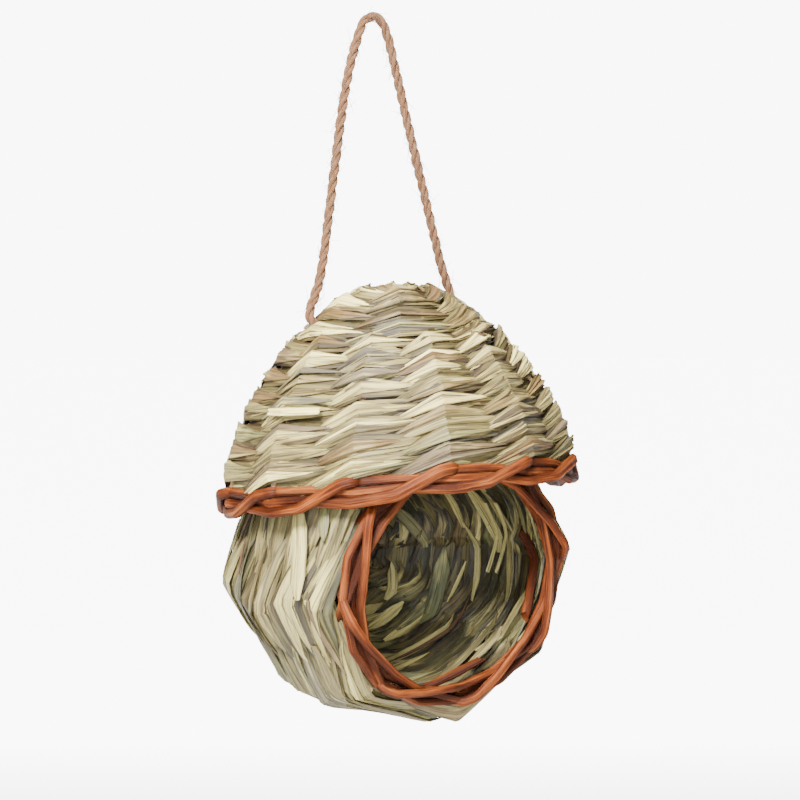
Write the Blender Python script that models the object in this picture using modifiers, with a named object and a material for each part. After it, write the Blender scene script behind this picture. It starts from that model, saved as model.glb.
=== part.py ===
"""A hanging nest house for small birds, woven by hand from grass, willow and twine.

A domed roof of twined grass sits on a basket of the same grass.  The basket lies on
its side, closed at the back, with a round mouth at the front.  Willow rods plaited
round make the roof's border and the mouth's border, and a loop of jute twine, knotted
inside the roof, carries it all.

Metres, +Z up, the mouth faces -Y.  The origin is the top of the twine loop, on the
twine's centre line, where a hook carries the house.
"""

import math

import bpy
import numpy as np
from mathutils import Vector

# The middle of the roof's rim, seen from the hook.
RIM_CENTRE = Vector((0.004, -0.009, -0.150))

# Pieces that touch keep this clearance.
GAP = 0.0003

# Points of each wall's meridian, and of each span of the twine's curve, before they
# are read at the places that a piece needs.
MERIDIAN_POINTS = 240
SPAN_POINTS = 24

# Weave: flat grass bands pass outside and inside the stakes by turns.
STAKE_RADIUS = 0.0011
STAKE_END = 0.62  # stakes run in under the crown to this share of its radius
STAKE_POINTS = 8
BAND_THICKNESS = 0.0020
BAND_REACH = 0.0017  # half the flat stretch of a band over a stake
BAND_OFFSET = STAKE_RADIUS + BAND_THICKNESS / 2 + 3 * GAP
WALL_HALF = BAND_OFFSET + BAND_THICKNESS / 2

# Willow rods of the two borders.
ROD_RADIUS = 0.0013
RODS_PER_BORDER = 4
ROD_POINTS = 26
ROD_SPAN = math.radians(350)  # each rod stops just short of its own start
ROD_START = 0.5  # radians past a stake where a rod starts

# Roof: outside sizes above the rim, then its weave.
ROOF_RADIUS = 0.0585
ROOF_HEIGHT = 0.0665
ROOF_SHOULDER = 1.6  # powers of the dome: how late it turns in ...
ROOF_TOP_POWER = 0.55  # ... and how blunt its top is
ROOF_STAKES = 12
ROOF_FIRST_STAKE = math.radians(15)
ROOF_ROWS = 12
ROOF_BORDER_MIDDLE = 0.0005
ROOF_BORDER_HEIGHT = 0.0088
ROOF_BORDER_DEPTH = 0.0070
ROOF_BORDER_RADIUS = 0.0577
ROOF_BORDER_TURNS = 3
ROOF_FRONT_LIFT = 0.105  # slope of the rim, up towards the mouth
ROOF_SIDE_LIFT = 0.040  # slope of the rim, up towards +X
ROOF_BOW = 1.185  # the rim bows up at front and back, per metre of y squared
CROWN_RADIUS = 0.0098
CROWN_THICKNESS = 0.0030
DISC_EDGE = 0.7  # power of a disc's rounded edge: under 1 is fuller than a circle
DISC_TURNS = (1.25, 0.85, 0.35)  # where its points stand, in radians above the level
DISC_STEPS = 16

# Basket: outside sizes round a level axis through the mouth's middle.
MOUTH_RADIUS = 0.0430
MOUTH_Y = -0.0350
AXIS_Z = -0.0250
BELLY_RADIUS = 0.0555
BELLY_Y = 0.0070
BACK_Y = 0.0530
UNDER_SQUASH = 0.81  # the basket is lower than wide, below its axis ...
OVER_SQUASH = 0.75  # ... and lower still above it, under the roof
MOUTH_LEAN = 0.158  # the mouth looks down by this slope ...
LEAN_REACH = 0.015  # ... up to this height over the axis, and stands straight above it
BASKET_STAKES = 8
BASKET_FIRST_STAKE = math.radians(8)
BASKET_ROWS = 14
FACET = 0.025  # how far the walls draw in between two stakes
MOUTH_BORDER_SIZE = 0.0092
MOUTH_BORDER_TURNS = 3
BACK_DISC_RADIUS = 0.0090

# Twine loop.
TWINE_RADIUS = 0.0015
KNOT_RADIUS = 0.0036
LOOP_ROW_GAP = 9  # the loop enters the roof above this many rows
LOOP_LEFT = math.radians(-97)
LOOP_RIGHT = math.radians(112)
LOOP_CLEAR = 0.0025  # the twine turns down this far outside the wall
KNOT_CLEAR = 0.0030  # and ends this far inside it, on the knot
HOLE_REACH = 0.0060  # a hole's cutter is this much longer than the twine in it
TWINE_POINTS = 50

GRASS = ((0.58, 0.55, 0.38), (0.62, 0.56, 0.40), (0.52, 0.53, 0.38), (0.56, 0.47, 0.34))
STAKE_COLOUR = (0.34, 0.22, 0.13)
WILLOW_COLOUR = (0.48, 0.17, 0.07)
TWINE_COLOUR = (0.47, 0.30, 0.21)


def fade(value, start, end):
    """Falls from 1 at start to 0 at end, and stays level outside them."""
    return min(1.0, max(0.0, (end - value) / (end - start)))


class Shell:
    """A woven wall: a meridian carried round an axis, with stakes along it.

    `s` is the distance along the meridian, `out` the distance outside the middle of
    the wall, and angles turn round the axis.
    """

    def __init__(self, stakes, first_stake, axial, radius):
        self.stakes = stakes
        self.first_stake = first_stake
        self.axial = axial
        self.radius = radius
        self.s = np.concatenate(([0.0], np.cumsum(np.hypot(np.diff(axial), np.diff(radius)))))
        self.axial_slope = np.gradient(axial, self.s)
        self.radial_slope = np.gradient(radius, self.s)

    def read(self, s, out=0.0):
        """Axial place and radius at s, moved out along the wall's normal."""
        axial_slope = np.interp(s, self.s, self.axial_slope)
        radial_slope = np.interp(s, self.s, self.radial_slope)
        long = math.hypot(axial_slope, radial_slope)
        axial = np.interp(s, self.s, self.axial) - out * radial_slope / long
        radius = np.interp(s, self.s, self.radius) + out * axial_slope / long
        return float(axial), float(radius)

    def s_at_axial(self, axial):
        """The s where the meridian first reaches an axial place."""
        return float(np.interp(axial, self.axial, self.s))

    def s_at_radius(self, radius):
        """The s near the pole where the meridian has closed to a radius."""
        top = int(np.argmax(self.radius))
        return float(np.interp(-radius, -self.radius[top:], self.s[top:]))

    def stake_angle(self, number):
        """Angle of a stake."""
        return self.first_stake + number * math.tau / self.stakes

    def point(self, angle, s, out=0.0):
        """Point at an angle, a distance along the meridian and a distance outside."""
        return self.place(angle, *self.read(s, out))


class Roof(Shell):
    """The dome: its axis is upright, and angle 0 looks at -Y."""

    def __init__(self):
        turn = np.linspace(0.0, 1.0, MERIDIAN_POINTS)
        height = (ROOF_HEIGHT - WALL_HALF) * np.sin(turn * math.pi / 2)
        share = np.clip(1.0 - (height / height[-1]) ** ROOF_SHOULDER, 0.0, 1.0)
        super().__init__(ROOF_STAKES, ROOF_FIRST_STAKE, height,
                         (ROOF_RADIUS - WALL_HALF) * share ** ROOF_TOP_POWER)

    def place(self, angle, axial, radius):
        """Point of the dome, lifted where the rim slopes and bows, less towards the top."""
        x = radius * math.sin(angle)
        y = -radius * math.cos(angle)
        lift = ROOF_SIDE_LIFT * x - ROOF_FRONT_LIFT * y + ROOF_BOW * y * y
        return Vector((x, y, axial + lift * fade(axial, 0.0, ROOF_HEIGHT)))


class Basket(Shell):
    """The nest: its axis runs back from the mouth, and angle 0 looks at +X."""

    def __init__(self):
        belly = BELLY_RADIUS - WALL_HALF
        mouth = MOUTH_RADIUS - MOUTH_BORDER_SIZE / 2
        front = (BELLY_Y - MOUTH_Y) / math.sqrt(1 - (mouth / belly) ** 2)
        back = BACK_Y - WALL_HALF - BELLY_Y
        start = math.asin((MOUTH_Y - BELLY_Y) / front)
        turn = np.linspace(start, math.pi / 2, MERIDIAN_POINTS)
        axial = BELLY_Y + np.sin(turn) * np.where(turn < 0, front, back)
        super().__init__(BASKET_STAKES, BASKET_FIRST_STAKE, axial, belly * np.cos(turn))

    def place(self, angle, axial, radius):
        """Point of the basket: drawn in between stakes, flattened, and leaning in front."""
        inward = (1 - math.cos(self.stakes * (angle - self.first_stake))) / 2
        radius = radius * (1 - FACET * inward)
        near = fade(axial, MOUTH_Y, BELLY_Y + LEAN_REACH)
        squash = OVER_SQUASH if math.sin(angle) > 0 else UNDER_SQUASH
        rise = radius * math.sin(angle) * (near + squash * (1 - near))
        lean = MOUTH_LEAN * (BELLY_Y - axial) / (BELLY_Y - MOUTH_Y)
        y = axial - lean * min(rise, LEAN_REACH)
        return Vector((radius * math.cos(angle), y, AXIS_Z + rise))


def make_material(name, colour, roughness):
    """A plain material of one colour."""
    material = bpy.data.materials.new(name)
    material.use_nodes = True
    shader = material.node_tree.nodes["Principled BSDF"]
    shader.inputs["Base Color"].default_value = (*colour, 1.0)
    shader.inputs["Roughness"].default_value = roughness
    shader.inputs["Metallic"].default_value = 0.0
    material.diffuse_color = (*colour, 1.0)
    return material


def add_object(name, data, material, collection, parent):
    """Puts new data in the scene as a named piece of the house."""
    piece = bpy.data.objects.new(name, data)
    data.materials.append(material)
    collection.objects.link(piece)
    piece.parent = parent
    return piece


def woven_row(shell, s, width, phase, rounding):
    """A closed band round the shell that passes each stake on the other side."""
    points = []
    step = math.tau / shell.stakes
    reach = BAND_REACH / shell.read(s)[1]
    for number in range(shell.stakes):
        middle = shell.stake_angle(number)
        side = BAND_OFFSET if (number + phase) % 2 == 0 else -BAND_OFFSET
        stations = [(middle - reach, side), (middle + reach, side)]
        if rounding:
            stations.append((middle + step / 2, 0.0))
        for angle, out in stations:
            points.append(shell.point(angle, s - width / 2, out))
            points.append(shell.point(angle, s + width / 2, out))
    count = len(points)
    faces = [(i, (i + 2) % count, (i + 3) % count, i + 1) for i in range(0, count, 2)]
    mesh = bpy.data.meshes.new("row")
    mesh.from_pydata(points, [], faces)
    return mesh


def thicken(piece):
    """Gives an open band its thickness, half to each side."""
    shell = piece.modifiers.new("band", "SOLIDIFY")
    shell.thickness = BAND_THICKNESS
    shell.offset = 0.0
    shell.use_even_offset = True


def tube(points, radius, sides_level):
    """A round rod along the points, with closed ends."""
    curve = bpy.data.curves.new("rod", "CURVE")
    curve.dimensions = "3D"
    curve.bevel_depth = radius
    curve.bevel_resolution = sides_level
    curve.use_fill_caps = True
    spline = curve.splines.new("POLY")
    spline.points.add(len(points) - 1)
    for spot, point in zip(spline.points, points):
        spot.co = (*point, 1.0)
    return curve


def stake(shell, number, start, end):
    """A rod along one meridian of the shell."""
    angle = shell.stake_angle(number)
    line = [shell.point(angle, s) for s in np.linspace(start, end, STAKE_POINTS)]
    return tube(line, STAKE_RADIUS, 1)


def border_rod(shell, number, axial, radius, half_axial, half_radial, turns):
    """One rod of a border: it winds round the border's middle as it goes round the rim."""
    start = shell.stake_angle(number * shell.stakes / RODS_PER_BORDER) + ROD_START
    points = []
    for angle in np.linspace(start, start + ROD_SPAN, ROD_POINTS):
        wind = turns * angle + number * math.tau / RODS_PER_BORDER
        points.append(shell.place(angle, axial + (half_axial - ROD_RADIUS) * math.sin(wind),
                                  radius + (half_radial - ROD_RADIUS) * math.cos(wind)))
    return tube(points, ROD_RADIUS, 1)


def lathe(name, profile, material, collection, parent):
    """A turned piece from a profile of (radius, height), outer side top to bottom."""
    mesh = bpy.data.meshes.new(name)
    mesh.from_pydata([(r, 0.0, z) for r, z in profile], [],
                     [(i, i + 1) for i in range(len(profile) - 1)])
    piece = add_object(name, mesh, material, collection, parent)
    screw = piece.modifiers.new("turn", "SCREW")
    screw.steps = DISC_STEPS
    screw.render_steps = DISC_STEPS
    screw.use_normal_flip = True
    screw.use_merge_vertices = True
    screw.merge_threshold = 0.00001
    return piece


def disc_profile(radius, thickness):
    """A low rounded disc, from the top of its axis down to the bottom."""
    rim = [(radius * math.cos(turn) ** DISC_EDGE, thickness * math.sin(turn))
           for turn in DISC_TURNS]
    return [(0.0, thickness), *rim, (radius, 0.0), (0.0, 0.0)]


def smooth_route(points, count):
    """Points evenly along a Catmull-Rom curve through the route's own points."""
    rows = [Vector(point) for point in points]
    rows = [2 * rows[0] - rows[1], *rows, 2 * rows[-1] - rows[-2]]
    fine = []
    for a, b, c, d in zip(rows, rows[1:], rows[2:], rows[3:]):
        for t in np.linspace(0.0, 1.0, SPAN_POINTS, endpoint=False):
            t = float(t)
            fine.append(0.5 * (2 * b + (c - a) * t + (2 * a - 5 * b + 4 * c - d) * t ** 2
                               + (3 * b - a - 3 * c + d) * t ** 3))
    fine.append(rows[-2])
    line = np.array(fine)
    s = np.concatenate(([0.0], np.cumsum(np.linalg.norm(np.diff(line, axis=0), axis=1))))
    even = np.linspace(0.0, s[-1], count)
    return [Vector([float(np.interp(at, s, line[:, k])) for k in range(3)]) for at in even]


def build_roof(collection, parent, materials):
    """Border, stakes, rows and crown of the dome.

    Returns the shell and the place along it where the twine goes through.
    """
    roof = Roof()
    foot = roof.s_at_axial(ROOF_BORDER_MIDDLE + ROOF_BORDER_HEIGHT / 2 + GAP)
    top = roof.s_at_radius(CROWN_RADIUS + GAP)
    pitch = (top - foot) / ROOF_ROWS
    for number in range(ROOF_ROWS):
        mesh = woven_row(roof, foot + (number + 0.5) * pitch, pitch - 2 * GAP, number, False)
        piece = add_object(f"roof_row_{number + 1:02d}", mesh, materials["grass"][number % 4],
                           collection, parent)
        thicken(piece)
    for number in range(ROOF_STAKES):
        rod = stake(roof, number, foot, roof.s_at_radius(CROWN_RADIUS * STAKE_END))
        add_object(f"roof_stake_{number + 1:02d}", rod, materials["stake"], collection, parent)
    for number in range(RODS_PER_BORDER):
        rod = border_rod(roof, number, ROOF_BORDER_MIDDLE,
                         ROOF_BORDER_RADIUS - ROOF_BORDER_DEPTH / 2, ROOF_BORDER_HEIGHT / 2,
                         ROOF_BORDER_DEPTH / 2, ROOF_BORDER_TURNS)
        add_object(f"roof_border_rod_{number + 1}", rod, materials["willow"], collection, parent)
    crown = lathe("roof_crown", disc_profile(CROWN_RADIUS, CROWN_THICKNESS),
                  materials["grass"][0], collection, parent)
    crown.location = (0.0, 0.0, roof.read(roof.s[-1])[0] + STAKE_RADIUS + GAP)
    return roof, foot + LOOP_ROW_GAP * pitch


def build_basket(collection, parent, materials):
    """Border, stakes, rows and back disc of the nest."""
    basket = Basket()
    half = MOUTH_BORDER_SIZE / 2
    foot = basket.s_at_axial(MOUTH_Y + half + GAP)
    end = basket.s_at_radius(BACK_DISC_RADIUS + GAP)
    pitch = (end - foot) / BASKET_ROWS
    for number in range(BASKET_ROWS):
        mesh = woven_row(basket, foot + (number + 0.5) * pitch, pitch - 3 * GAP, number, True)
        piece = add_object(f"nest_row_{number + 1:02d}", mesh, materials["grass"][(number + 2) % 4],
                           collection, parent)
        thicken(piece)
    for number in range(BASKET_STAKES):
        rod = stake(basket, number, foot, basket.s_at_radius(BACK_DISC_RADIUS * STAKE_END))
        add_object(f"nest_stake_{number + 1}", rod, materials["stake"], collection, parent)
    for number in range(RODS_PER_BORDER):
        rod = border_rod(basket, number, MOUTH_Y, MOUTH_RADIUS - half, half, half,
                         MOUTH_BORDER_TURNS)
        add_object(f"mouth_border_rod_{number + 1}", rod, materials["willow"], collection, parent)
    profile = disc_profile(BACK_DISC_RADIUS * (1 - FACET) - GAP, CROWN_THICKNESS)
    disc = lathe("nest_back_disc", profile, materials["grass"][1], collection, parent)
    pole = basket.place(0.0, basket.read(basket.s[-1])[0] + STAKE_RADIUS + GAP, 0.0)
    disc.location = pole
    disc.rotation_euler = (-math.pi / 2, 0.0, 0.0)
    disc.scale = (1.0, OVER_SQUASH, 1.0)


def build_loop(collection, cutters, parent, materials, roof, seam):
    """The twine loop, its two knots inside the roof, and the holes it passes through."""
    hook = -RIM_CENTRE
    ends = []
    for side, angle in (("left", LOOP_LEFT), ("right", LOOP_RIGHT)):
        outside = roof.point(angle, seam, WALL_HALF + LOOP_CLEAR)
        through = roof.point(angle, seam)
        inside = roof.point(angle, seam, -WALL_HALF - KNOT_CLEAR)
        knot_at = roof.point(angle, seam, -WALL_HALF - KNOT_CLEAR - KNOT_RADIUS - GAP)
        ends.append((outside, through, inside))
        bpy.ops.mesh.primitive_uv_sphere_add(segments=10, ring_count=7, radius=KNOT_RADIUS)
        knot = bpy.context.object
        knot.name = f"twine_knot_{side}"
        knot.data.materials.append(materials["twine"])
        for holder in list(knot.users_collection):
            holder.objects.unlink(knot)
        collection.objects.link(knot)
        knot.parent = parent
        knot.location = knot_at
        add_hole(cutters, parent, side, outside, inside)
    (left_out, left_in, left_end), (right_out, right_in, right_end) = ends
    route = [left_end, left_in, left_out,
             hook + Vector((-0.0212, -0.0044, -0.080)),
             hook + Vector((-0.0158, -0.0028, -0.050)),
             hook + Vector((-0.0104, -0.0012, -0.022)),
             hook + Vector((-0.0057, -0.0004, -0.0068)),
             hook + Vector((-0.0032, 0.0, -0.0016)),
             hook,
             hook + Vector((0.0032, 0.0, -0.0014)),
             hook + Vector((0.0055, 0.0, -0.0060)),
             hook + Vector((0.0082, 0.0002, -0.0150)),
             hook + Vector((0.0170, 0.0009, -0.0460)),
             hook + Vector((0.0258, 0.0015, -0.0760)),
             right_out, right_in, right_end]
    loop = tube(smooth_route(route, TWINE_POINTS), TWINE_RADIUS, 2)
    add_object("hanging_twine", loop, materials["twine"], collection, parent)


def add_hole(cutters, parent, side, outside, inside):
    """A round hole through the wall for the twine."""
    line = outside - inside
    bpy.ops.mesh.primitive_cylinder_add(vertices=12, radius=TWINE_RADIUS + 3 * GAP,
                                        depth=line.length + HOLE_REACH)
    cutter = bpy.context.object
    cutter.name = f"twine_hole_{side}"
    cutter.rotation_euler = line.to_track_quat("Z", "Y").to_euler()
    cutter.location = (outside + inside) / 2
    cutter.parent = parent
    cutter.hide_render = True
    cutter.display_type = "WIRE"
    for holder in list(cutter.users_collection):
        holder.objects.unlink(cutter)
    cutters.objects.link(cutter)
    for number in (LOOP_ROW_GAP, LOOP_ROW_GAP + 1):
        row = bpy.data.objects[f"roof_row_{number:02d}"]
        cut = row.modifiers.new(f"hole_{side}", "BOOLEAN")
        cut.operation = "DIFFERENCE"
        cut.object = cutter


def main():
    """Builds the whole house on an empty at the middle of the roof's rim."""
    for old in list(bpy.data.objects):
        bpy.data.objects.remove(old, do_unlink=True)
    collection = bpy.data.collections.new("hanging_nest_house")
    cutters = bpy.data.collections.new("cutters")
    bpy.context.scene.collection.children.link(collection)
    bpy.context.scene.collection.children.link(cutters)
    rim = bpy.data.objects.new("rim_centre", None)
    rim.location = RIM_CENTRE
    collection.objects.link(rim)
    materials = {
        "grass": [make_material(f"grass_{k + 1}", colour, 0.75) for k, colour in enumerate(GRASS)],
        "stake": make_material("rush_stake", STAKE_COLOUR, 0.7),
        "willow": make_material("willow_bark", WILLOW_COLOUR, 0.5),
        "twine": make_material("jute_twine", TWINE_COLOUR, 0.9),
    }
    roof, seam = build_roof(collection, rim, materials)
    build_basket(collection, rim, materials)
    build_loop(collection, cutters, rim, materials, roof, seam)


main()
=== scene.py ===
"""Looks of the hanging nest house: twined grass, willow borders and a jute loop.

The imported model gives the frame.  Every woven row, willow rod, crown and the twine is
made here as a surface over two parameters, worked out with numpy, and stands for the
plain piece of the same place.  Metres, +Z up, the mouth faces -Y.
"""

import logging
import math
from dataclasses import dataclass, field
from enum import Enum

import bpy
import numpy as np
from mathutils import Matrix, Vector


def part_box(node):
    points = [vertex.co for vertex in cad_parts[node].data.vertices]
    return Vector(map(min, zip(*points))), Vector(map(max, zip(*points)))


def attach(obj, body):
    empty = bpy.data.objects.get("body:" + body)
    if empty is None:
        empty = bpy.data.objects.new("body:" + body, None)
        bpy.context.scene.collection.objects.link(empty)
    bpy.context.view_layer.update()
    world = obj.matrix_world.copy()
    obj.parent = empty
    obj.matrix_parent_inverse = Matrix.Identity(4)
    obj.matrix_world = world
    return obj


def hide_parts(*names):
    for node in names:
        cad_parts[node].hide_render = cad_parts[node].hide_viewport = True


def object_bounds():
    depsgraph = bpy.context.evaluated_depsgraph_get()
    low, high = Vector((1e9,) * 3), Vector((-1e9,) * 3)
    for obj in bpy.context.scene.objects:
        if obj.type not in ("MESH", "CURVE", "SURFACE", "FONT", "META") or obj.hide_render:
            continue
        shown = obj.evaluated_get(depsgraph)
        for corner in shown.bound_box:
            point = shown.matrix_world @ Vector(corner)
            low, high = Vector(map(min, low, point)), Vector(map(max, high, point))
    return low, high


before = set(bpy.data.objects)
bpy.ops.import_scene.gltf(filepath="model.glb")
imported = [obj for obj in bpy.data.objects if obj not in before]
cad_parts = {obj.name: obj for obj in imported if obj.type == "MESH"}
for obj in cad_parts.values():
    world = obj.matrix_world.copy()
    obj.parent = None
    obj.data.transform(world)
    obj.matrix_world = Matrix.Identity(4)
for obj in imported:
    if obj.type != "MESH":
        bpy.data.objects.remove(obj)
CAD_BOX = [list(corner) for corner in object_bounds()]

Array = np.ndarray
LOG = logging.getLogger("nest_house")
MM = 0.001
BODY = "root"
MERIDIAN_POINTS = 240
LIFTS_PAST_THE_SEAM = 6
LEAST_GIRTH = 0.002


class Slot(Enum):
    """Material slots of the record."""

    GRASS = "grass"
    WILLOW = "willow"
    TWINE = "twine"


class Seed(Enum):
    """Starting points of the random sources, one for each maker."""

    ROOF_GRASS = 12
    NEST_GRASS = 47
    ROOF_WILLOW = 5
    MOUTH_WILLOW = 6
    LOOSE_WILLOW = 9
    JUTE = 71


class Crisp(Enum):
    """Angles between faces, in degrees, past which an edge stays crisp."""

    LEAF = 13.0
    ROD = 26.0
    FIBRE = 60.0


# ---------------------------------------------------------------- meshes


def round_quads(stations: int, places: int) -> Array:
    """Quads that join each station of a grid to the next, all round.

    Args:
        stations: Number of stations.
        places: Number of places round each.

    Returns:
        Point numbers, quads x 4.
    """
    here = np.arange(stations * places).reshape(stations, places)
    after = np.roll(here, -1, axis=1)
    return np.stack([here[:-1], here[1:], after[1:], after[:-1]], axis=-1).reshape(-1, 4)


@dataclass
class Sheaf:
    """Closed strips gathered into one mesh.

    Each strip is a grid of points, stations along by places around.  The sheaf keeps
    the faces, a UV map in centimetres (across, along), and three values a point: tone,
    which picks the colour, age, which browns and dulls it, and open, which is 1 where
    the strip lies in the open and 0 where it is tucked away.  Open carries painted shade:
    the materials darken a point the lower its open value is, for the shade between and
    behind the leaves and rods.
    """

    name: str
    points: list[Array] = field(default_factory=list)
    quads: list[Array] = field(default_factory=list)
    across: list[Array] = field(default_factory=list)
    along: list[Array] = field(default_factory=list)
    tone: list[Array] = field(default_factory=list)
    age: list[Array] = field(default_factory=list)
    open: list[Array] = field(default_factory=list)
    total: int = 0

    def add(self, grid: Array, across: Array, along: Array, tone: float,
            age: float | Array, painted_light: float | Array = 1.0) -> None:
        """Adds one closed strip.

        Side faces join station i to i + 1 all round, and each end is closed by a row of
        quads that pairs the places of one side with those of the other.  The signed
        volume, a sixth of the sum of p0 . (p1 x p2) over the triangles, says whether the
        faces have to be turned round.

        Args:
            grid: Points, shaped stations x places x 3, with an even number of places.
            across: Distance across the strip of each place, in metres.
            along: Distance along the strip of each station, in metres.
            tone: Colour pick of the whole strip, 0 to 1.
            age: Browning, 0 to 1, for the strip or for each station.
            painted_light: How open each point lies, 0 to 1.
        """
        stations, places = grid.shape[:2]
        near = np.arange(places // 2 - 1)
        cap = np.stack([near, near + 1, places - 2 - near, places - 1 - near], axis=-1)
        quads = np.concatenate([round_quads(stations, places), cap,
                                cap[:, ::-1] + (stations - 1) * places])
        flat = grid.reshape(-1, 3)
        a, b, c, d = (flat[quads[:, k]] for k in range(4))
        middle = flat.mean(axis=0)
        volume = (np.einsum("ij,ij->", a - middle, np.cross(b - middle, c - middle))
                  + np.einsum("ij,ij->", a - middle, np.cross(c - middle, d - middle)))
        if volume < 0.0:
            quads = quads[:, ::-1]
        self.points.append(flat)
        self.quads.append(quads + self.total)
        self.across.append(np.broadcast_to(across, (stations, places)).reshape(-1))
        self.along.append(np.repeat(along, places))
        self.tone.append(np.full(stations * places, tone))
        self.age.append(np.repeat(np.broadcast_to(age, (stations,)), places))
        # The open values are painted shade: the materials darken the strip where they are low.
        self.open.append(np.broadcast_to(painted_light, (stations, places)).reshape(-1))
        self.total += stations * places

    def build(self, crisp: Crisp = Crisp.LEAF) -> bpy.types.Object:
        """Makes the object at the origin, with its place in its mesh.

        Args:
            crisp: Which edges between faces stay crisp.

        Returns:
            The new object, linked to the scene.
        """
        points, quads = np.concatenate(self.points), np.concatenate(self.quads)
        mesh = bpy.data.meshes.new(self.name)
        mesh.vertices.add(len(points))
        mesh.vertices.foreach_set("co", points.ravel())
        mesh.loops.add(quads.size)
        mesh.loops.foreach_set("vertex_index", quads.ravel())
        mesh.polygons.add(len(quads))
        mesh.polygons.foreach_set("loop_start", np.arange(0, quads.size, 4))
        mesh.update(calc_edges=True)
        spots = np.stack([np.concatenate(self.across), np.concatenate(self.along)], axis=-1)
        layer = mesh.uv_layers.new(name="along")
        layer.data.foreach_set("uv", (spots[quads.ravel()] * 100.0).ravel())
        for name, values in (("tone", self.tone), ("age", self.age), ("open", self.open)):
            mesh.attributes.new(name, "FLOAT", "POINT").data.foreach_set(
                "value", np.concatenate(values))
        mesh.shade_smooth()
        mesh.set_sharp_from_angle(angle=math.radians(crisp.value))
        mesh.validate()
        piece = bpy.data.objects.new(self.name, mesh)
        bpy.context.scene.collection.objects.link(piece)
        return piece


def dress(piece: bpy.types.Object, material: bpy.types.Material, slot: Slot,
          stands_for: tuple[str, ...] = ()) -> bpy.types.Object:
    """Gives a finished piece its material and its body, and hides what it stands for.

    Args:
        piece: The new piece.
        material: Its finish.
        slot: Its slot in the record; not used.
        stands_for: Names of the plain pieces that it replaces.

    Returns:
        The same piece.
    """
    piece.data.materials.append(material)
    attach(piece, BODY)
    if stands_for:
        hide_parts(*stands_for)
    LOG.info("%s: %d faces", piece.name, len(piece.data.polygons))
    return piece


def wander(rng: np.random.Generator, where: Array, step: float, size: float) -> Array:
    """Random values at even steps, with straight lines between them.

    Args:
        rng: Random source.
        where: Places where the values are read.
        step: Distance between the random values.
        size: Largest value, either way.

    Returns:
        A value for each place.
    """
    low = float(where.min()) - step
    knots = np.arange(low, float(where.max()) + 2 * step, step)
    return np.interp(where, knots, rng.uniform(-size, size, len(knots)))


def travelled(line: Array) -> Array:
    """Distance along a line of points, from its first."""
    return np.concatenate([[0.0], np.cumsum(np.linalg.norm(np.diff(line, axis=0), axis=1))])


def evened(line: Array, step: float) -> Array:
    """A line of points read again at even distances.

    Args:
        line: The points.
        step: Distance between the new ones, or a little more.

    Returns:
        The new points.
    """
    s = travelled(line)
    even = np.linspace(0.0, s[-1], int(s[-1] / step))
    return np.stack([np.interp(even, s, line[:, k]) for k in range(3)], axis=-1)


def unit(vectors: Array) -> Array:
    """The same directions, all of length 1."""
    return vectors / np.linalg.norm(vectors, axis=-1, keepdims=True)


def side_frames(line: Array, up: Array) -> tuple[Array, Array]:
    """Two directions square to a line at each point.

    The first is `up` less its part along the line, and the second is square to both.

    Args:
        line: Points of the line.
        up: Where the first direction leans to, at each point.

    Returns:
        The two directions, each shaped like the line.
    """
    tangent = unit(np.gradient(line, axis=0))
    first = unit(up - tangent * np.sum(up * tangent, axis=1, keepdims=True))
    return first, np.cross(tangent, first)


def tube_grid(line: Array, radius: Array, places: int, up: Array, flat: float = 1.0,
              knobs: Array | float = 0.0) -> Array:
    """A rod's surface: place j stands at angle a = 2 pi j / places round the line.

    The point is line + r (cos a . first + flat sin a . second), with r = radius (1 + knobs).

    Args:
        line: Centre line.
        radius: Radius at each of its points.
        places: Number of places round the line.
        up: Where the first direction leans to, at each point.
        flat: How much wider the rod is along the second direction.
        knobs: Swelling of each place round the line, as a share of the radius.

    Returns:
        Points, stations x places x 3.
    """
    first, second = side_frames(line, up)
    angle = np.arange(places) * math.tau / places
    reach = radius[:, None] * (1.0 + knobs)
    return (line[:, None, :] + (reach * np.cos(angle))[..., None] * first[:, None, :]
            + (reach * np.sin(angle) * flat)[..., None] * second[:, None, :])


def mirrored(places: int, radius: float) -> Array:
    """Distance across a rod that runs out and back, so that the seam doesn't show."""
    angle = np.arange(places) * math.tau / places
    return radius * np.minimum(angle, math.tau - angle)


# ---------------------------------------------------------------- walls


def fade(value: Array, start: float, end: float) -> Array:
    """Falls from 1 at start to 0 at end, and stays level outside them."""
    return np.clip((end - value) / (end - start), 0.0, 1.0)


def drawn_in(angle: Array, stakes: int, first: float, share: float) -> Array:
    """How a wall is drawn in between stakes, as a share of its radius.

    With d the angle to the nearest stake and h half a spacing, a straight run between
    stakes has radius cos h / cos(h - d); `share` of that is taken.

    Args:
        angle: Angles round the wall.
        stakes: Number of stakes.
        first: Angle of the first stake.
        share: 0 for a round wall, 1 for straight runs.

    Returns:
        What the radius is multiplied by, at each angle.
    """
    half = math.pi / stakes
    near = np.abs(((angle - first) / (2 * half) + 0.5) % 1.0 - 0.5) * 2 * half
    return 1 - share * (1 - math.cos(half) / np.cos(half - near))


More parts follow.
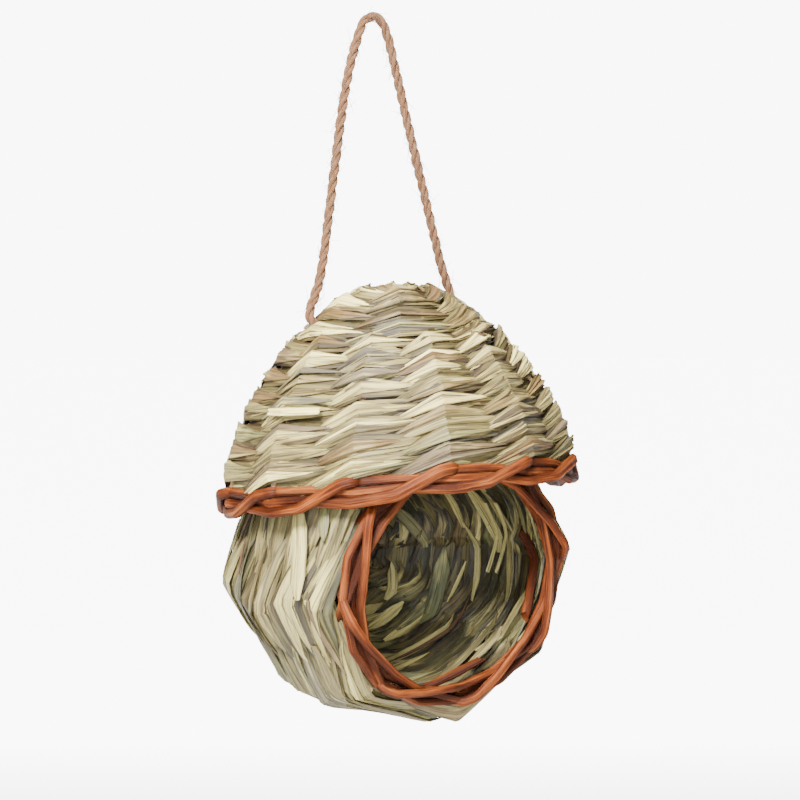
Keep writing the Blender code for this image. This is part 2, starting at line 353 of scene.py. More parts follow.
class Wall:
    """A woven wall: a meridian carried round an axis, with stakes along it.

    `s` is the distance along the meridian and `out` the distance outside the middle of
    the wall, in metres.  Angles turn round the axis.
    """

    def __init__(self, centre: Vector, stakes: int, first_stake: float, axial: Array,
                 radius: Array) -> None:
        """Keeps the meridian and its slopes.

        Args:
            centre: Middle of the roof's rim.
            stakes: Number of stakes round the wall.
            first_stake: Angle of the first stake, in radians.
            axial: Places along the axis of the meridian's points.
            radius: Their distances from the axis.
        """
        self.centre = np.array(centre)
        self.stakes = stakes
        self.first_stake = first_stake
        self.axial, self.radius = axial, radius
        self.s = travelled(np.stack([axial, radius], axis=-1))
        slopes = np.stack([np.gradient(axial, self.s), np.gradient(radius, self.s)])
        self.slopes = slopes / np.linalg.norm(slopes, axis=0)

    def read(self, s: Array, out: Array) -> tuple[Array, Array]:
        """Axial place and radius at s, moved out along the meridian's normal.

        Args:
            s: Distances along the meridian.
            out: Distances outside it.

        Returns:
            Axial places and radii.
        """
        axial_slope = np.interp(s, self.s, self.slopes[0])
        radial_slope = np.interp(s, self.s, self.slopes[1])
        return (np.interp(s, self.s, self.axial) - out * radial_slope,
                np.interp(s, self.s, self.radius) + out * axial_slope)

    def s_at_axial(self, axial: float) -> float:
        """The s where the meridian first reaches an axial place."""
        return float(np.interp(axial, self.axial, self.s))

    def s_at_radius(self, radius: float) -> float:
        """The s near the pole where the meridian has closed to a radius."""
        top = int(np.argmax(self.radius))
        return float(np.interp(-radius, -self.radius[top:], self.s[top:]))

    def girth(self, s: float) -> float:
        """Radius of the wall at s."""
        return float(np.interp(s, self.s, self.radius))

    def stake_angle(self, number: float) -> float:
        """Angle of a stake."""
        return self.first_stake + number * math.tau / self.stakes

    def place(self, angle: Array, axial: Array, radius: Array) -> Array:
        """Point of an angle, an axial place and a radius."""
        raise NotImplementedError

    def at(self, angle: Array, s: Array, out: Array) -> Array:
        """Point of an angle, a distance along the meridian and a distance out."""
        return self.place(angle, *self.read(s, out))


@dataclass(frozen=True)
class RoofSizes:
    """Driving sizes of the dome."""

    radius: float = 0.0585
    height: float = 0.0665
    wall_half: float = 0.0040
    shoulder: float = 1.6
    top_power: float = 0.55
    stakes: int = 12
    first_stake: float = math.radians(15)
    rows: int = 12
    border_middle: float = 0.0005
    border_height: float = 0.0088
    border_radius: float = 0.0577
    border_inset: float = 0.0028
    front_lift: float = 0.105
    side_lift: float = 0.040
    bow: float = 1.185
    crown_radius: float = 0.0098
    crown_seat: float = 0.0011
    gap: float = 0.0003


class RoofWall(Wall):
    """The dome: its axis is upright, and angle 0 looks at -Y."""

    def __init__(self, centre: Vector, sizes: RoofSizes, faceted: float = 0.55) -> None:
        """Lays out the dome's meridian.

        With t from 0 to 1, height is H sin(t pi / 2) and radius is
        R (1 - (height / H) ^ shoulder) ^ top_power.

        Args:
            centre: Middle of the roof's rim.
            sizes: Driving sizes.
            faceted: 0 for a round dome, 1 for straight runs between stakes.
        """
        self.sizes = sizes
        self.faceted = faceted
        turn = np.linspace(0.0, 1.0, MERIDIAN_POINTS)
        height = (sizes.height - sizes.wall_half) * np.sin(turn * math.pi / 2)
        share = np.clip(1.0 - (height / height[-1]) ** sizes.shoulder, 0.0, 1.0)
        super().__init__(centre, sizes.stakes, sizes.first_stake, height,
                         (sizes.radius - sizes.wall_half) * share ** sizes.top_power)
        self.foot = self.s_at_axial(sizes.border_middle + sizes.border_height / 2 + sizes.gap)
        self.top = self.s_at_radius(sizes.crown_radius + sizes.gap)
        self.pitch = (self.top - self.foot) / sizes.rows

    def place(self, angle: Array, axial: Array, radius: Array) -> Array:
        """Turns round Z; the rim slopes and bows, less and less towards the top.

        The rim is lifted by side_lift . x - front_lift . y + bow . y^2.

        Args:
            angle: Angles from -Y, towards +X.
            axial: Heights over the rim's middle.
            radius: Distances from the axis.

        Returns:
            Points, in metres.
        """
        sizes = self.sizes
        radius = radius * drawn_in(angle, sizes.stakes, sizes.first_stake, self.faceted)
        x, y = radius * np.sin(angle), -radius * np.cos(angle)
        lift = sizes.side_lift * x - sizes.front_lift * y + sizes.bow * y * y
        z = axial + lift * fade(axial, 0.0, sizes.height)
        return self.centre + np.stack(np.broadcast_arrays(x, y, z), axis=-1)


@dataclass(frozen=True)
class BasketSizes:
    """Driving sizes of the nest."""

    mouth_radius: float = 0.0430
    mouth_y: float = -0.0350
    axis_z: float = -0.0250
    belly_radius: float = 0.0555
    belly_y: float = 0.0070
    back_y: float = 0.0530
    wall_half: float = 0.0040
    under_squash: float = 0.81
    over_squash: float = 0.75
    mouth_lean: float = 0.158
    lean_reach: float = 0.015
    stakes: int = 8
    first_stake: float = math.radians(8)
    rows: int = 14
    faceted: float = 0.60
    border_size: float = 0.0092
    back_radius: float = 0.0090
    gap: float = 0.0003
    slip: float = 0.09
    slip_slant: float = 0.6
    slip_wave: float = 160.0


class BasketWall(Wall):
    """The nest: its axis runs back from the mouth, and angle 0 looks at +X, 90 degrees up."""

    def __init__(self, centre: Vector, sizes: BasketSizes) -> None:
        """Lays out the nest's meridian.

        With t from the mouth to pi / 2, the axial place is belly_y + sin t . half length
        and the radius is belly . cos t, with a longer half length in front.

        Args:
            centre: Middle of the roof's rim.
            sizes: Driving sizes.
        """
        self.sizes = sizes
        belly = sizes.belly_radius - sizes.wall_half
        mouth = sizes.mouth_radius - sizes.border_size / 2
        front = (sizes.belly_y - sizes.mouth_y) / math.sqrt(1 - (mouth / belly) ** 2)
        back = sizes.back_y - sizes.wall_half - sizes.belly_y
        turn = np.linspace(math.asin((sizes.mouth_y - sizes.belly_y) / front), math.pi / 2,
                           MERIDIAN_POINTS)
        axial = sizes.belly_y + np.sin(turn) * np.where(turn < 0, front, back)
        super().__init__(centre, sizes.stakes, sizes.first_stake, axial, belly * np.cos(turn))
        self.foot = self.s_at_axial(sizes.mouth_y + sizes.border_size / 2 + sizes.gap)
        self.top = self.s_at_radius(sizes.back_radius + sizes.gap)
        self.pitch = (self.top - self.foot) / sizes.rows

    def place(self, angle: Array, axial: Array, radius: Array) -> Array:
        """Turns round Y; the ring is drawn in between stakes, flattened, and leans.

        The stakes slip to and fro by slip . sin(slip_wave (axial + slip_slant . radius)).
        Above and below the axis the rise is squashed, more and more towards the back, and
        the mouth leans with the rise up to lean_reach.

        Args:
            angle: Angles from +X, upwards.
            axial: Places along Y.
            radius: Distances from the axis.

        Returns:
            Points, in metres.
        """
        sizes = self.sizes
        slip = sizes.slip * np.sin((axial + sizes.slip_slant * radius) * sizes.slip_wave)
        radius = radius * drawn_in(angle + slip, sizes.stakes, sizes.first_stake, sizes.faceted)
        near = fade(axial, sizes.mouth_y, sizes.belly_y + sizes.lean_reach)
        squash = np.where(np.sin(angle) > 0, sizes.over_squash, sizes.under_squash)
        rise = radius * np.sin(angle) * (near + squash * (1 - near))
        lean = sizes.mouth_lean * (sizes.belly_y - axial) / (sizes.belly_y - sizes.mouth_y)
        y = axial - lean * np.minimum(rise, sizes.lean_reach)
        z = sizes.axis_z + rise
        return self.centre + np.stack(np.broadcast_arrays(radius * np.cos(angle), y, z), axis=-1)


# ---------------------------------------------------------------- grass


@dataclass(frozen=True)
class Twining:
    """How a strand runs past the stakes, straight from place to place.

    The places are in stake spacings from the stake that the strand passes in front of;
    it passes behind the stakes at -1 and 1.  It comes out low, crosses its stake, and
    dives high, under the strand that follows.  `reach` is how far out it lies, -1 to 1,
    `rise` how far up, in row widths, and `spread` how wide its leaves lie.
    """

    places: tuple[float, ...] = (-1.0, -0.82, -0.62, 0.0, 0.45, 0.84, 1.0)
    reach: tuple[float, ...] = (-1.0, -0.72, 0.0, 1.0, 0.52, 0.06, -1.0)
    rise: tuple[float, ...] = (0.0, -0.34, -0.50, 0.08, 0.12, 0.18, 0.0)
    spread: tuple[float, ...] = (0.95, 0.72, 0.46, 1.0, 0.78, 0.48, 0.95)

    def at(self, phase: Array) -> tuple[Array, ...]:
        """Reach, rise and spread at places from -1 to 1."""
        return tuple(np.interp(phase, self.places, values)
                     for values in (self.reach, self.rise, self.spread))


@dataclass(frozen=True)
class Leaf:
    """Shape of one leaf across its width.

    `edge` holds places across the top, -1 to 1, and the under side returns through the
    inner ones.  `arch` is the height of its back in half widths, and `gathered` how much
    deeper its folds are where it is shut.  A fold strays by `stray` of its depth, at every
    `stray_every` radians.  Its rim is `shade` darker, the more so the higher `shade_power`:
    painted shade, for the thin shadow along a leaf's edge.
    """

    edge: tuple[float, ...] = (-1.0, -0.88, -0.36, 0.10, 0.46, 0.88, 1.0)
    thickness: float = 0.00035
    arch: float = 0.09
    gathered: float = 1.6
    stray: float = 0.3
    stray_every: float = 0.25
    shade: float = 0.95
    shade_power: int = 12

    def rim(self) -> Array:
        """How open each place around lies, 1 - shade . |x|^shade_power: painted rim shade."""
        edge = np.array(self.edge)
        return 1 - self.shade * np.abs(np.concatenate([edge, edge[1:-1][::-1]])) ** self.shade_power

    def section(self, half: Array, folds: Array, shut: Array) -> tuple[Array, Array]:
        """Across and height of every point around, at every station.

        The top is an arch, arch . half (1 - x^2), plus the folds, which grow as the leaf
        is shut; the under side lies one thickness below it.

        Args:
            half: Half width at each station.
            folds: Fold heights, stations x inner places of the top.
            shut: How far the leaf is gathered, 0 to 1, at each station.

        Returns:
            Two arrays, stations x places.
        """
        edge = np.array(self.edge)
        top = self.arch * half[:, None] * (1 - edge ** 2)
        top[:, 1:-1] += folds * (1 + self.gathered * shut[:, None])
        low = (top - self.thickness)[:, 1:-1][:, ::-1]
        across = half[:, None] * np.concatenate([edge, edge[1:-1][::-1]])
        return across, np.concatenate([top, low], axis=1)


@dataclass(frozen=True)
class Weave:
    """How a wall is woven.

    `reach` is how far a strand swings out and in past a stake, and `width` a row's width
    in pitches.  `climb` scales how far a strand climbs over its row, and `steps` is how
    many stations a leaf has from stake to stake.  `faced` and `lined` are the shares of
    the strands' outer and inner runs that broad leaves cover, and `inside` says how open
    the inner runs lie, which sets their painted shade.  Where the wall's radius is under
    `pair_under`, strands pass two stakes at a time.  `fuller` swells the wall under the
    first radius of `fuller_within`, and less and less up to the second.  `single` is the
    share of runs that one broad leaf covers in place of two, `stray` says how far these
    lie aslant, and `fold` how deep their pleats are, in half widths.  `full` is the width
    of a bundle's leaf and `share` that of a single broad one, in row widths, and `tilt` is
    how far a broad leaf rolls over, in radians.  `under` and `filled` say how open the
    bundle and the filling lie, which sets their painted shade, and `tucked` how far in the
    foot's second pair of strands is.
    """

    reach: float
    width: float
    climb: float = 1.0
    steps: int = 8
    faced: float = 0.8
    lined: float = 0.0
    inside: float = 0.6
    pair_under: float = 0.0
    fuller: float = 0.0
    fuller_within: tuple[float, float] = (0.012, 0.040)
    single: float = 0.6
    stray: float = 0.16
    fold: float = 0.15
    full: float = 0.56
    tilt: float = 0.26
    under: float = 0.50
    share: float = 0.88
    tucked: float = 0.0
    filled: float = 0.10


@dataclass(frozen=True)
class Unevenness:
    """How far leaves stray from their even places and widths, either way.

    `lift` is in row widths, `seat` and `width` are shares, `out` is in metres and the
    rolls are in radians.
    """

    lift: float = 0.13
    seat: float = 0.14
    width: float = 0.14
    out: float = 0.15 * MM
    roll: float = 0.22
    broad_roll: float = 0.14
    scattered_roll: float = 0.16
    loose_roll: float = 0.12


@dataclass(frozen=True)
class Splice:
    """How a strand's bundle is made up of leaves, in stakes where nothing else is said.

    A leaf runs on for `run` stakes, starts `before` its first and ends `after` its last.
    The leaves lie up to `seat` to either side, and `across` brings that to row widths.
    A leaf narrows over `narrowed` at its ends and browns there over `browned`, by up to
    `browning`.  It stands `lift` further out or in, less `sink` towards the sides, both
    in millimetres.  `age` holds the two powers that its age is drawn by.
    """

    run: tuple[int, int] = (2, 5)
    before: tuple[float, float] = (0.05, 0.35)
    after: tuple[float, float] = (0.05, 0.30)
    seat: float = 0.52
    across: float = 0.36
    narrowed: float = 0.35
    browned: float = 0.25
    browning: float = 0.35
    lift: float = 0.5
    sink: float = 0.4
    age: tuple[float, float] = (1.4, 4.0)


@dataclass(frozen=True)
class Facing:
    """How straight leaves lie over a strand where it passes a stake.

    A leaf starts `before` the stake and ends `after` it, in stakes; its width goes by
    `taper` at its head, `narrowed` past that, at the stake and at its tail.  `across`
    brings its seat to row widths, `clear` is how far it stands off the bundle, and each
    leaf lies `over` the one before, in metres.  A broad leaf lies up to `middle` aside
    with a share `wide` of its width, in `slips` of the cases with a narrow one up to
    `slip_seat` aside with a share `slip`; two leaves lie at `seats` with a share `narrow`.
    A share over `broad_from` takes the broad kind of leaf.
    """

    before: tuple[float, float] = (0.62, 0.84)
    after: tuple[float, float] = (0.56, 0.96)
    narrowed: float = 0.3
    taper: tuple[float, ...] = (0.30, 0.75, 1.0, 0.06)
    across: float = 0.40
    clear: float = 0.75 * MM
    over: float = 0.35 * MM
    middle: float = 0.12
    wide: tuple[float, float] = (0.82, 1.18)
    slips: float = 0.5
    slip_seat: float = 0.6
    slip: tuple[float, float] = (0.14, 0.34)
    seats: tuple[float, float] = (-0.42, 0.42)
    narrow: tuple[float, float] = (0.40, 0.62)
    broad_from: float = 0.55
    age: tuple[float, float] = (1.2, 5.0)


@dataclass(frozen=True)
class Scatter:
    """Loose leaves laid at random: `count` of them on one `side`, 1 outside or -1 inside.

    `span` is in stakes, `climb` and `width` are in row pitches, and `ages` holds the two
    powers that their age is drawn by.  They lie `clear` of the strands at the stakes and
    dip by `dip` between them, in metres.
    """

    count: int
    side: float
    span: tuple[float, float] = (0.7, 1.4)
    climb: tuple[float, float] = (-0.5, 1.2)
    width: tuple[float, float] = (0.30, 0.85)
    clear: float = 1.5 * MM
    dip: float = 1.1 * MM
    ages: tuple[float, float] = (1.2, 4.0)


@dataclass(frozen=True)
class Lane:
    """Where one strand runs.

    `s` and `width` are its row's, `front` is 0 or 1, the first stake that it passes in
    front of, and `first` is the angle of the first of its `stakes`, or of the first pair
    of them.  `lift` is how far it rides up at each stake, and `tones` the range of its
    colour pick.
    """

    s: float
    width: float
    front: int
    stakes: int
    first: float
    tones: tuple[float, float]
    lift: Array

    @property
    def spacing(self) -> float:
        """Angle between stakes."""
        return math.tau / self.stakes


@dataclass(frozen=True)
class LooseLeaf:
    """One leaf that lies over the weave, creased at its own points.

    Angles are in degrees, the rest in millimetres: `along` the meridian, `out` from the
    wall's middle (inside the wall below 0), and `half` its half width.  `blunt` is the
    share of its width that its ends keep.
    """

    angles: tuple[float, ...]
    along: tuple[float, ...]
    out: float
    half: float
    tone: float
    age: float = 0.1
    blunt: float = 0.15


ROOF_LEAVES = (
    LooseLeaf((-83.0, -59.0), (27.2, 26.6), 4.7, 1.35, 0.46, 0.0, 0.95),
    LooseLeaf((-86.0, -77.5, -55.0), (24.8, 30.8, 29.8), 4.5, 1.25, 0.93),
)
NEST_LEAVES = (
    LooseLeaf((31.0, 10.0, -9.5), (43.6, 47.5, 51.0), -6.6, 1.2, 0.45, 0.0, 0.9),
    LooseLeaf((31.0, -9.0), (36.5, 45.4), -6.4, 1.3, 0.50, 0.0, 0.95),
    LooseLeaf((-79.0, -44.0), (80.0, 82.8), -5.4, 2.6, 0.43),
    LooseLeaf((-57.0, -33.0), (28.0, 32.6), -5.6, 2.8, 0.64, 0.0, 0.4),
    LooseLeaf((-80.0, -26.0), (60.2, 57.8), -5.4, 0.9, 0.82, 0.9),
    LooseLeaf((-32.0, -6.0), (66.4, 64.1), -5.6, 0.9, 0.45),
    LooseLeaf((-51.0, -26.0, 2.0), (70.0, 72.5, 74.2), -5.8, 3.4, 0.02),
    LooseLeaf((-49.0, -12.0), (34.7, 19.3), -5.4, 2.6, 0.28),
    LooseLeaf((47.0, 16.0), (12.0, 23.4), -5.6, 1.3, 0.12, 0.0, 0.8),
    LooseLeaf((149.0, 167.0, 184.5), (24.0, 18.0, 14.5), 4.7, 2.6, 0.38, 0.1, 0.3),
    LooseLeaf((144.0, 161.0), (16.0, 11.3), 4.6, 1.9, 0.10),
    LooseLeaf((164.0, 179.0), (44.7, 43.8), 4.4, 0.5, 0.82, 1.0),
)


class Weaver:
    """Lays leaves on a wall, in twined rows."""

    def __init__(self, wall: Wall, seed: Seed, weave: Weave) -> None:
        """Keeps the wall, the way of weaving and the random source.

        Args:
            wall: The wall.
            seed: Which random source.
            weave: The way of weaving.
        """
        self.wall = wall
        self.rng = np.random.default_rng(seed.value)
        self.weave = weave
        self.leaf = Leaf()
        self.broad = Leaf(edge=(-1.0, -0.90, -0.55, -0.26, 0.02, 0.24, 0.56, 0.90, 1.0))
        self.twining = Twining()
        self.uneven = Unevenness()
        self.splice = Splice()
        self.facing = Facing()
        self.sunk = 0.0

    def lay(self, sheaf: Sheaf, leaf: Leaf, angle: Array, s: Array, out: Array, roll: Array,
            half: Array, shut: Array, tone: float, age: float | Array, painted_light: Array) -> None:
        """Lays one leaf along a path on the wall.

        The path leans by atan(ds / (r da)) from level.  A point of the section, x across
        and z up, is rolled by `roll`, then x is carried square to the path within the
        wall and z is added to `out`.

        Args:
            sheaf: Where the leaf goes.
            leaf: Its kind.
            angle: Angles of the stations.
            s: Their distances along the meridian.
            out: Their distances outside the wall's middle.
            roll: Turn of the leaf about its path, in radians.
            half: Half width.
            shut: How far the leaf is gathered, 0 to 1.
            tone: Colour pick.
            age: Browning.
            painted_light: How open each station lies, 0 to 1.
        """
        inner, fold = len(leaf.edge) - 2, self.weave.fold
        fixed = self.rng.uniform(-fold, fold, inner)
        folds = half[:, None] * np.stack(
            [fixed[k] + wander(self.rng, angle, leaf.stray_every, leaf.stray * fold)
             for k in range(inner)], axis=-1)
        across, height = leaf.section(half, folds, shut)
        girth = np.maximum(np.interp(s, self.wall.s, self.wall.radius), LEAST_GIRTH)
        lean = np.arctan2(np.gradient(s), girth * np.gradient(angle))[:, None]
        turn = roll[:, None]
        x = across * np.cos(turn) - height * np.sin(turn)
        z = across * np.sin(turn) + height * np.cos(turn)
        fuller = self.weave.fuller * fade(girth, *self.weave.fuller_within)
        grid = self.wall.at(angle[:, None] - x * np.sin(lean) / girth[:, None],
                            s[:, None] + x * np.cos(lean), (out + fuller - self.sunk)[:, None] + z)
        # Painted shade: the stations' open values times the darker rim of the leaf.
        sheaf.add(grid, across, travelled(grid[:, 0]), tone, age, painted_light[:, None] * leaf.rim())

    def lane(self, s: float, width: float, front: int, stakes: int, first: float,
             tones: tuple[float, float]) -> Lane:
        """Marks out a strand's lane, with a random lift at each stake.

        Args:
            s: Middle of the row.
            width: Width of the row.
            front: 0 or 1, the first stake that the strand passes in front of.
            stakes: Number of stakes in the row.
            first: Angle of the row's first stake, or of its first pair of stakes.
            tones: Range of the colour pick.

        Returns:
            The lane.
        """
        size = self.uneven.lift
        lift = self.rng.uniform(-size, size, stakes + LIFTS_PAST_THE_SEAM) * width
        return Lane(s, width, front, stakes, first, tones, lift)

    def strand(self, sheaf: Sheaf, lane: Lane, leaves: int = 3) -> None:
        """Winds one strand right round the wall as a bundle of overlapping leaves.

        The strand passes in front of every second stake.  Its leaves lie side by side
        over its width, each a little over the next, spread at the stakes and pinched
        between them, and each is spliced to the one that follows where it dives.

        Args:
            sheaf: Where the leaves go.
            lane: Where the strand runs.
            leaves: Leaves side by side.
        """
        rng, stakes, splice = self.rng, lane.stakes, self.splice
        for layer in range(leaves):
            seat = (layer / max(leaves - 1, 1) * 2 - 1) * splice.seat
            start = float(rng.integers(0, stakes)) + 0.5
            begun = start
            while begun < start + stakes - 0.2:
                run = min(float(rng.integers(*splice.run)), max(start + stakes - begun, 1.0))
                head = begun - rng.uniform(*splice.before)
                tail = begun + run + rng.uniform(*splice.after)
                self.bundled(sheaf, lane, head, tail, seat)
                begun += run
        self.cover(sheaf, lane)

    def bundled(self, sheaf: Sheaf, lane: Lane, head: float, tail: float, seat: float) -> None:
        """Lays one leaf of a strand's bundle, narrower and browner at its two ends.

        Args:
            sheaf: Where the leaf goes.
            lane: Where the strand runs.
            head: Where the leaf starts, in stakes.
            tail: Where it ends.
            seat: Where it lies across the strand, -1 to 1.
        """
        rng, weave, uneven, splice = self.rng, self.weave, self.uneven, self.splice
        width, place = lane.width, self.stations(head, tail)
        reach, rise, spread = self.twining.at((place - lane.front + 1.0) % 2.0 - 1.0)
        sway = seat + self.taut(place, uneven.seat)
        ends = np.minimum(place - head, tail - place)
        half = (0.5 * width * (weave.full + rng.uniform(-uneven.width, uneven.width)) * spread
                * (1 + self.taut(place, uneven.width)) * np.clip(ends / splice.narrowed, 0.05, 1.0))
        lift = np.interp(place % lane.stakes, np.arange(len(lane.lift)), lane.lift)
        middle = lane.s + weave.climb * width * rise + splice.across * width * sway * spread + lift
        out = (weave.reach * reach + np.sign(reach) * (splice.lift - splice.sink * abs(seat)) * MM
               * np.abs(reach) + self.taut(place, uneven.out))
        roll = -splice.across * sway * reach + self.taut(place, uneven.roll)
        browned = splice.browning * (1 - np.clip(ends / splice.browned, 0, 1))
        age = np.clip(rng.beta(*splice.age) + wander(rng, place, 1.0, 0.08)
                      + browned * rng.uniform(0, 1), 0, 1)
        # Painted shade: darkest where the leaf dives, dimmed by `inside` on the inner side and by
        # `under` on the outer side, where broad leaves lie over it.
        painted_light = np.interp(reach, (-1.0, -0.2, 0.7), (weave.under * weave.inside, 0.10, weave.under))
        self.lay(sheaf, self.leaf, lane.first + place * lane.spacing, middle, out, roll, half,
                 1 - spread, rng.uniform(*lane.tones), age, painted_light)

    def cover(self, sheaf: Sheaf, lane: Lane) -> None:
        """Lays straight leaves over a strand: a broad one, at times with a slip, or two.

        Args:
            sheaf: Where the leaves go.
            lane: Where the strand runs.
        """
        rng, weave, facing = self.rng, self.weave, self.facing
        for stake in range(lane.stakes):
            outer = (stake - lane.front) % 2 == 0
            if rng.random() > (weave.faced if outer else weave.lined):
                continue
            if rng.random() < weave.single:
                shares = [(rng.uniform(-facing.middle, facing.middle),
                           weave.share * rng.uniform(*facing.wide))]
                if rng.random() < facing.slips:
                    shares.append((rng.uniform(-facing.slip_seat, facing.slip_seat),
                                   rng.uniform(*facing.slip)))
            else:
                seats = rng.permutation(facing.seats)
                shares = [(seat, rng.uniform(*facing.narrow)) for seat in seats]
            for rank, (seat, share) in enumerate(shares):
                self.face(sheaf, lane, stake, outer, seat, share, rank * facing.over)

    def stations(self, head: float, tail: float) -> Array:
        """Places from head to tail, in stakes: even ones, and one on every stake."""
        even = np.linspace(head, tail, int((tail - head) * self.weave.steps) + 3)
        return np.unique(np.concatenate([even, np.arange(math.ceil(head), tail)]))

    def taut(self, place: Array, size: float) -> Array:
        """Random values at stakes and half way between them, with straight lines between."""
        knots = np.arange(math.floor(place[0] * 2), math.ceil(place[-1] * 2) + 1) / 2
        return np.interp(place, knots, self.rng.uniform(-size, size, len(knots)))

    def face(self, sheaf: Sheaf, lane: Lane, stake: int, outer: bool, seat: float,
             share: float, lifted: float) -> None:
        """Lays one straight leaf over a strand, creased where it passes a stake.

        It is pinched at its left end, widest at the stake, and runs out to a point on the
        right, under the strand that follows.

        Args:
            sheaf: Where the leaf goes.
            lane: Where the strand runs.
            stake: The stake it passes.
            outer: Whether the strand passes outside the stake.
            seat: Where the leaf lies across the strand, -1 to 1.
            share: Share of the strand's width that it covers.
            lifted: How far it lies over the first of the stake's leaves.
        """
        rng, weave, facing = self.rng, self.weave, self.facing
        width, spacing = lane.width, lane.spacing
        head, tail = -rng.uniform(*facing.before), rng.uniform(*facing.after)
        phase = self.stations(head, tail)
        side = 1.0 if outer else -1.0
        reach, rise, spread = self.twining.at(phase if outer else (phase + 2.0) % 2.0 - 1.0)
        sway = seat + self.taut(phase, weave.stray)
        taper = np.interp(phase, (head, head + facing.narrowed, 0.0, tail), facing.taper)
        half = 0.5 * width * share * spread * taper
        middle = (lane.s + lane.lift[stake] + weave.climb * width * rise
                  + facing.across * width * sway * spread)
        over = np.clip(np.minimum(phase - head, tail - phase) / 0.2, 0, 1)
        out = weave.reach * reach + side * (facing.clear + lifted) * over
        roll = (side * (-0.50 * sway + rng.uniform(-weave.tilt, weave.tilt))
                + self.taut(phase, self.uneven.broad_roll))
        # Painted shade: dark where the leaf dives past its stake, and dimmed by `inside` on inner
        # runs.
        painted_light = np.interp(reach * side, (-0.1, 0.5), (0.10, 1.0 if outer else weave.inside))
        leaf = self.broad if share > facing.broad_from else self.leaf
        self.lay(sheaf, leaf, lane.first + stake * spacing + phase * spacing, middle, out, roll,
                 half, 1 - spread, rng.uniform(*lane.tones), rng.beta(*facing.age), painted_light)

    def loose(self, sheaf: Sheaf, leaf: LooseLeaf) -> None:
        """Lays a single leaf over the weave, straight between its own points.

        Args:
            sheaf: Where it goes.
            leaf: The leaf.
        """
        own = np.radians(leaf.angles)
        share = np.linspace(0.0, 1.0, 6 * (len(own) - 1) + 1)
        keys = np.linspace(0.0, 1.0, len(own))
        angle = np.interp(share, keys, own)
        ends = np.clip(np.minimum(share, 1 - share) / 0.25, 0.0, 1.0)
        half = leaf.half * MM * (leaf.blunt + (1 - leaf.blunt) * ends)
        self.lay(sheaf, self.broad, angle, np.interp(share, keys, leaf.along) * MM,
                 np.full_like(share, leaf.out * MM), self.taut(share, self.uneven.loose_roll),
                 half, 1 - ends, leaf.tone, leaf.age, np.ones_like(share))

    def scatter(self, sheaf: Sheaf, scatter: Scatter, tones: tuple[float, float]) -> None:
        """Lays single leaves at random over the weave, each bent at the stakes it passes.

        Args:
            sheaf: Where the leaves go.
            scatter: How many, on which side and of what size.
            tones: Range of the colour pick.
        """
        rng, wall, weave = self.rng, self.wall, self.weave
        for _ in range(scatter.count):
            head = rng.uniform(0, wall.stakes)
            place = self.stations(head, head + rng.uniform(*scatter.span))
            start = rng.uniform(wall.foot + 0.5 * wall.pitch, wall.top - 2.5 * wall.pitch)
            share = (place - place[0]) / (place[-1] - place[0])
            between = np.abs((place + 0.5) % 1.0 - 0.5) * 2
            out = scatter.side * (weave.reach + scatter.clear - scatter.dip * between)
            ends = np.interp(share, (0.0, 0.25, 0.7, 1.0), (0.35, 1.0, 0.9, 0.05))
            half = 0.5 * wall.pitch * rng.uniform(*scatter.width) * ends
            angle = wall.stake_angle(0.0) + place * math.tau / wall.stakes
            s = start + share * rng.uniform(*scatter.climb) * wall.pitch
            roll = self.taut(place, self.uneven.scattered_roll)
            # Painted shade: leaves inside the wall are dimmed by `inside`.
            painted_light = np.full_like(share, 1.0 if scatter.side > 0 else weave.inside)
            self.lay(sheaf, self.leaf, angle, s, out, roll, half, 1 - ends, rng.uniform(*tones),
                     rng.beta(*scatter.ages), painted_light)

    def row(self, name: str, number: int, tones: tuple[float, float]) -> Sheaf:
        """One twined row: two strands that change sides between stakes.

        Where the wall has drawn in, the strands pass two stakes at a time.  The first row
        may have a second pair of strands below it, tucked behind the border.

        Args:
            name: The piece's name.
            number: Which row, from the foot of the wall.
            tones: Range of the colour pick.

        Returns:
            The row's leaves.
        """
        sheaf, wall = Sheaf(name), self.wall
        s = wall.foot + (number + 0.5) * wall.pitch
        paired = wall.girth(s) < self.weave.pair_under
        count = wall.stakes // 2 if paired else wall.stakes
        first = wall.stake_angle(0.5 if paired else 0.0)
        foot = number == 0 and self.weave.tucked
        for sunk in ((0.0, self.weave.tucked) if foot else (0.0,)):
            self.sunk = sunk
            for strand in range(2):
                lane = self.lane(s - 1.2 * sunk, self.weave.width * wall.pitch,
                                 (number + strand) % 2, count, first, tones)
                self.strand(sheaf, lane)
        self.sunk = 0.0
        self.filling(sheaf, s, count, first, tones)
        return sheaf

    def filling(self, sheaf: Sheaf, s: float, count: int, first: float,
                tones: tuple[float, float]) -> None:
        """Lays the straight leaf that fills a row between its strands, all round.

        It is a little wider than the row is high, so that no light shows through.  Its low open
        value, `filled`, paints it with shade, as dark as the gaps between the strands.

        Args:
            sheaf: Where the leaf goes.
            s: Middle of the row.
            count: Number of stakes in the row.
            first: Angle of the row's first stake.
            tones: Range of the colour pick.
        """
        place = np.linspace(0.0, count, 3 * count + 1)
        level = np.full_like(place, s)
        self.lay(sheaf, self.leaf, first + place * math.tau / count, level, 0 * place, 0 * place,
                 np.full_like(place, 0.55 * self.wall.pitch), 0 * place,
                 self.rng.uniform(*tones), 0.15, np.full_like(place, self.weave.filled))


# ---------------------------------------------------------------- willow


@dataclass(frozen=True)
class Course:
    """How a border rod runs on from the stake where it comes out.

    The places are in stake spacings.  The axial and radial places are in rod widths from
    the border's middle.  Where two rods cross, the later one lies over the earlier.
    """

    places: tuple[float, ...]
    axial: tuple[float, ...]
    radial: tuple[float, ...]


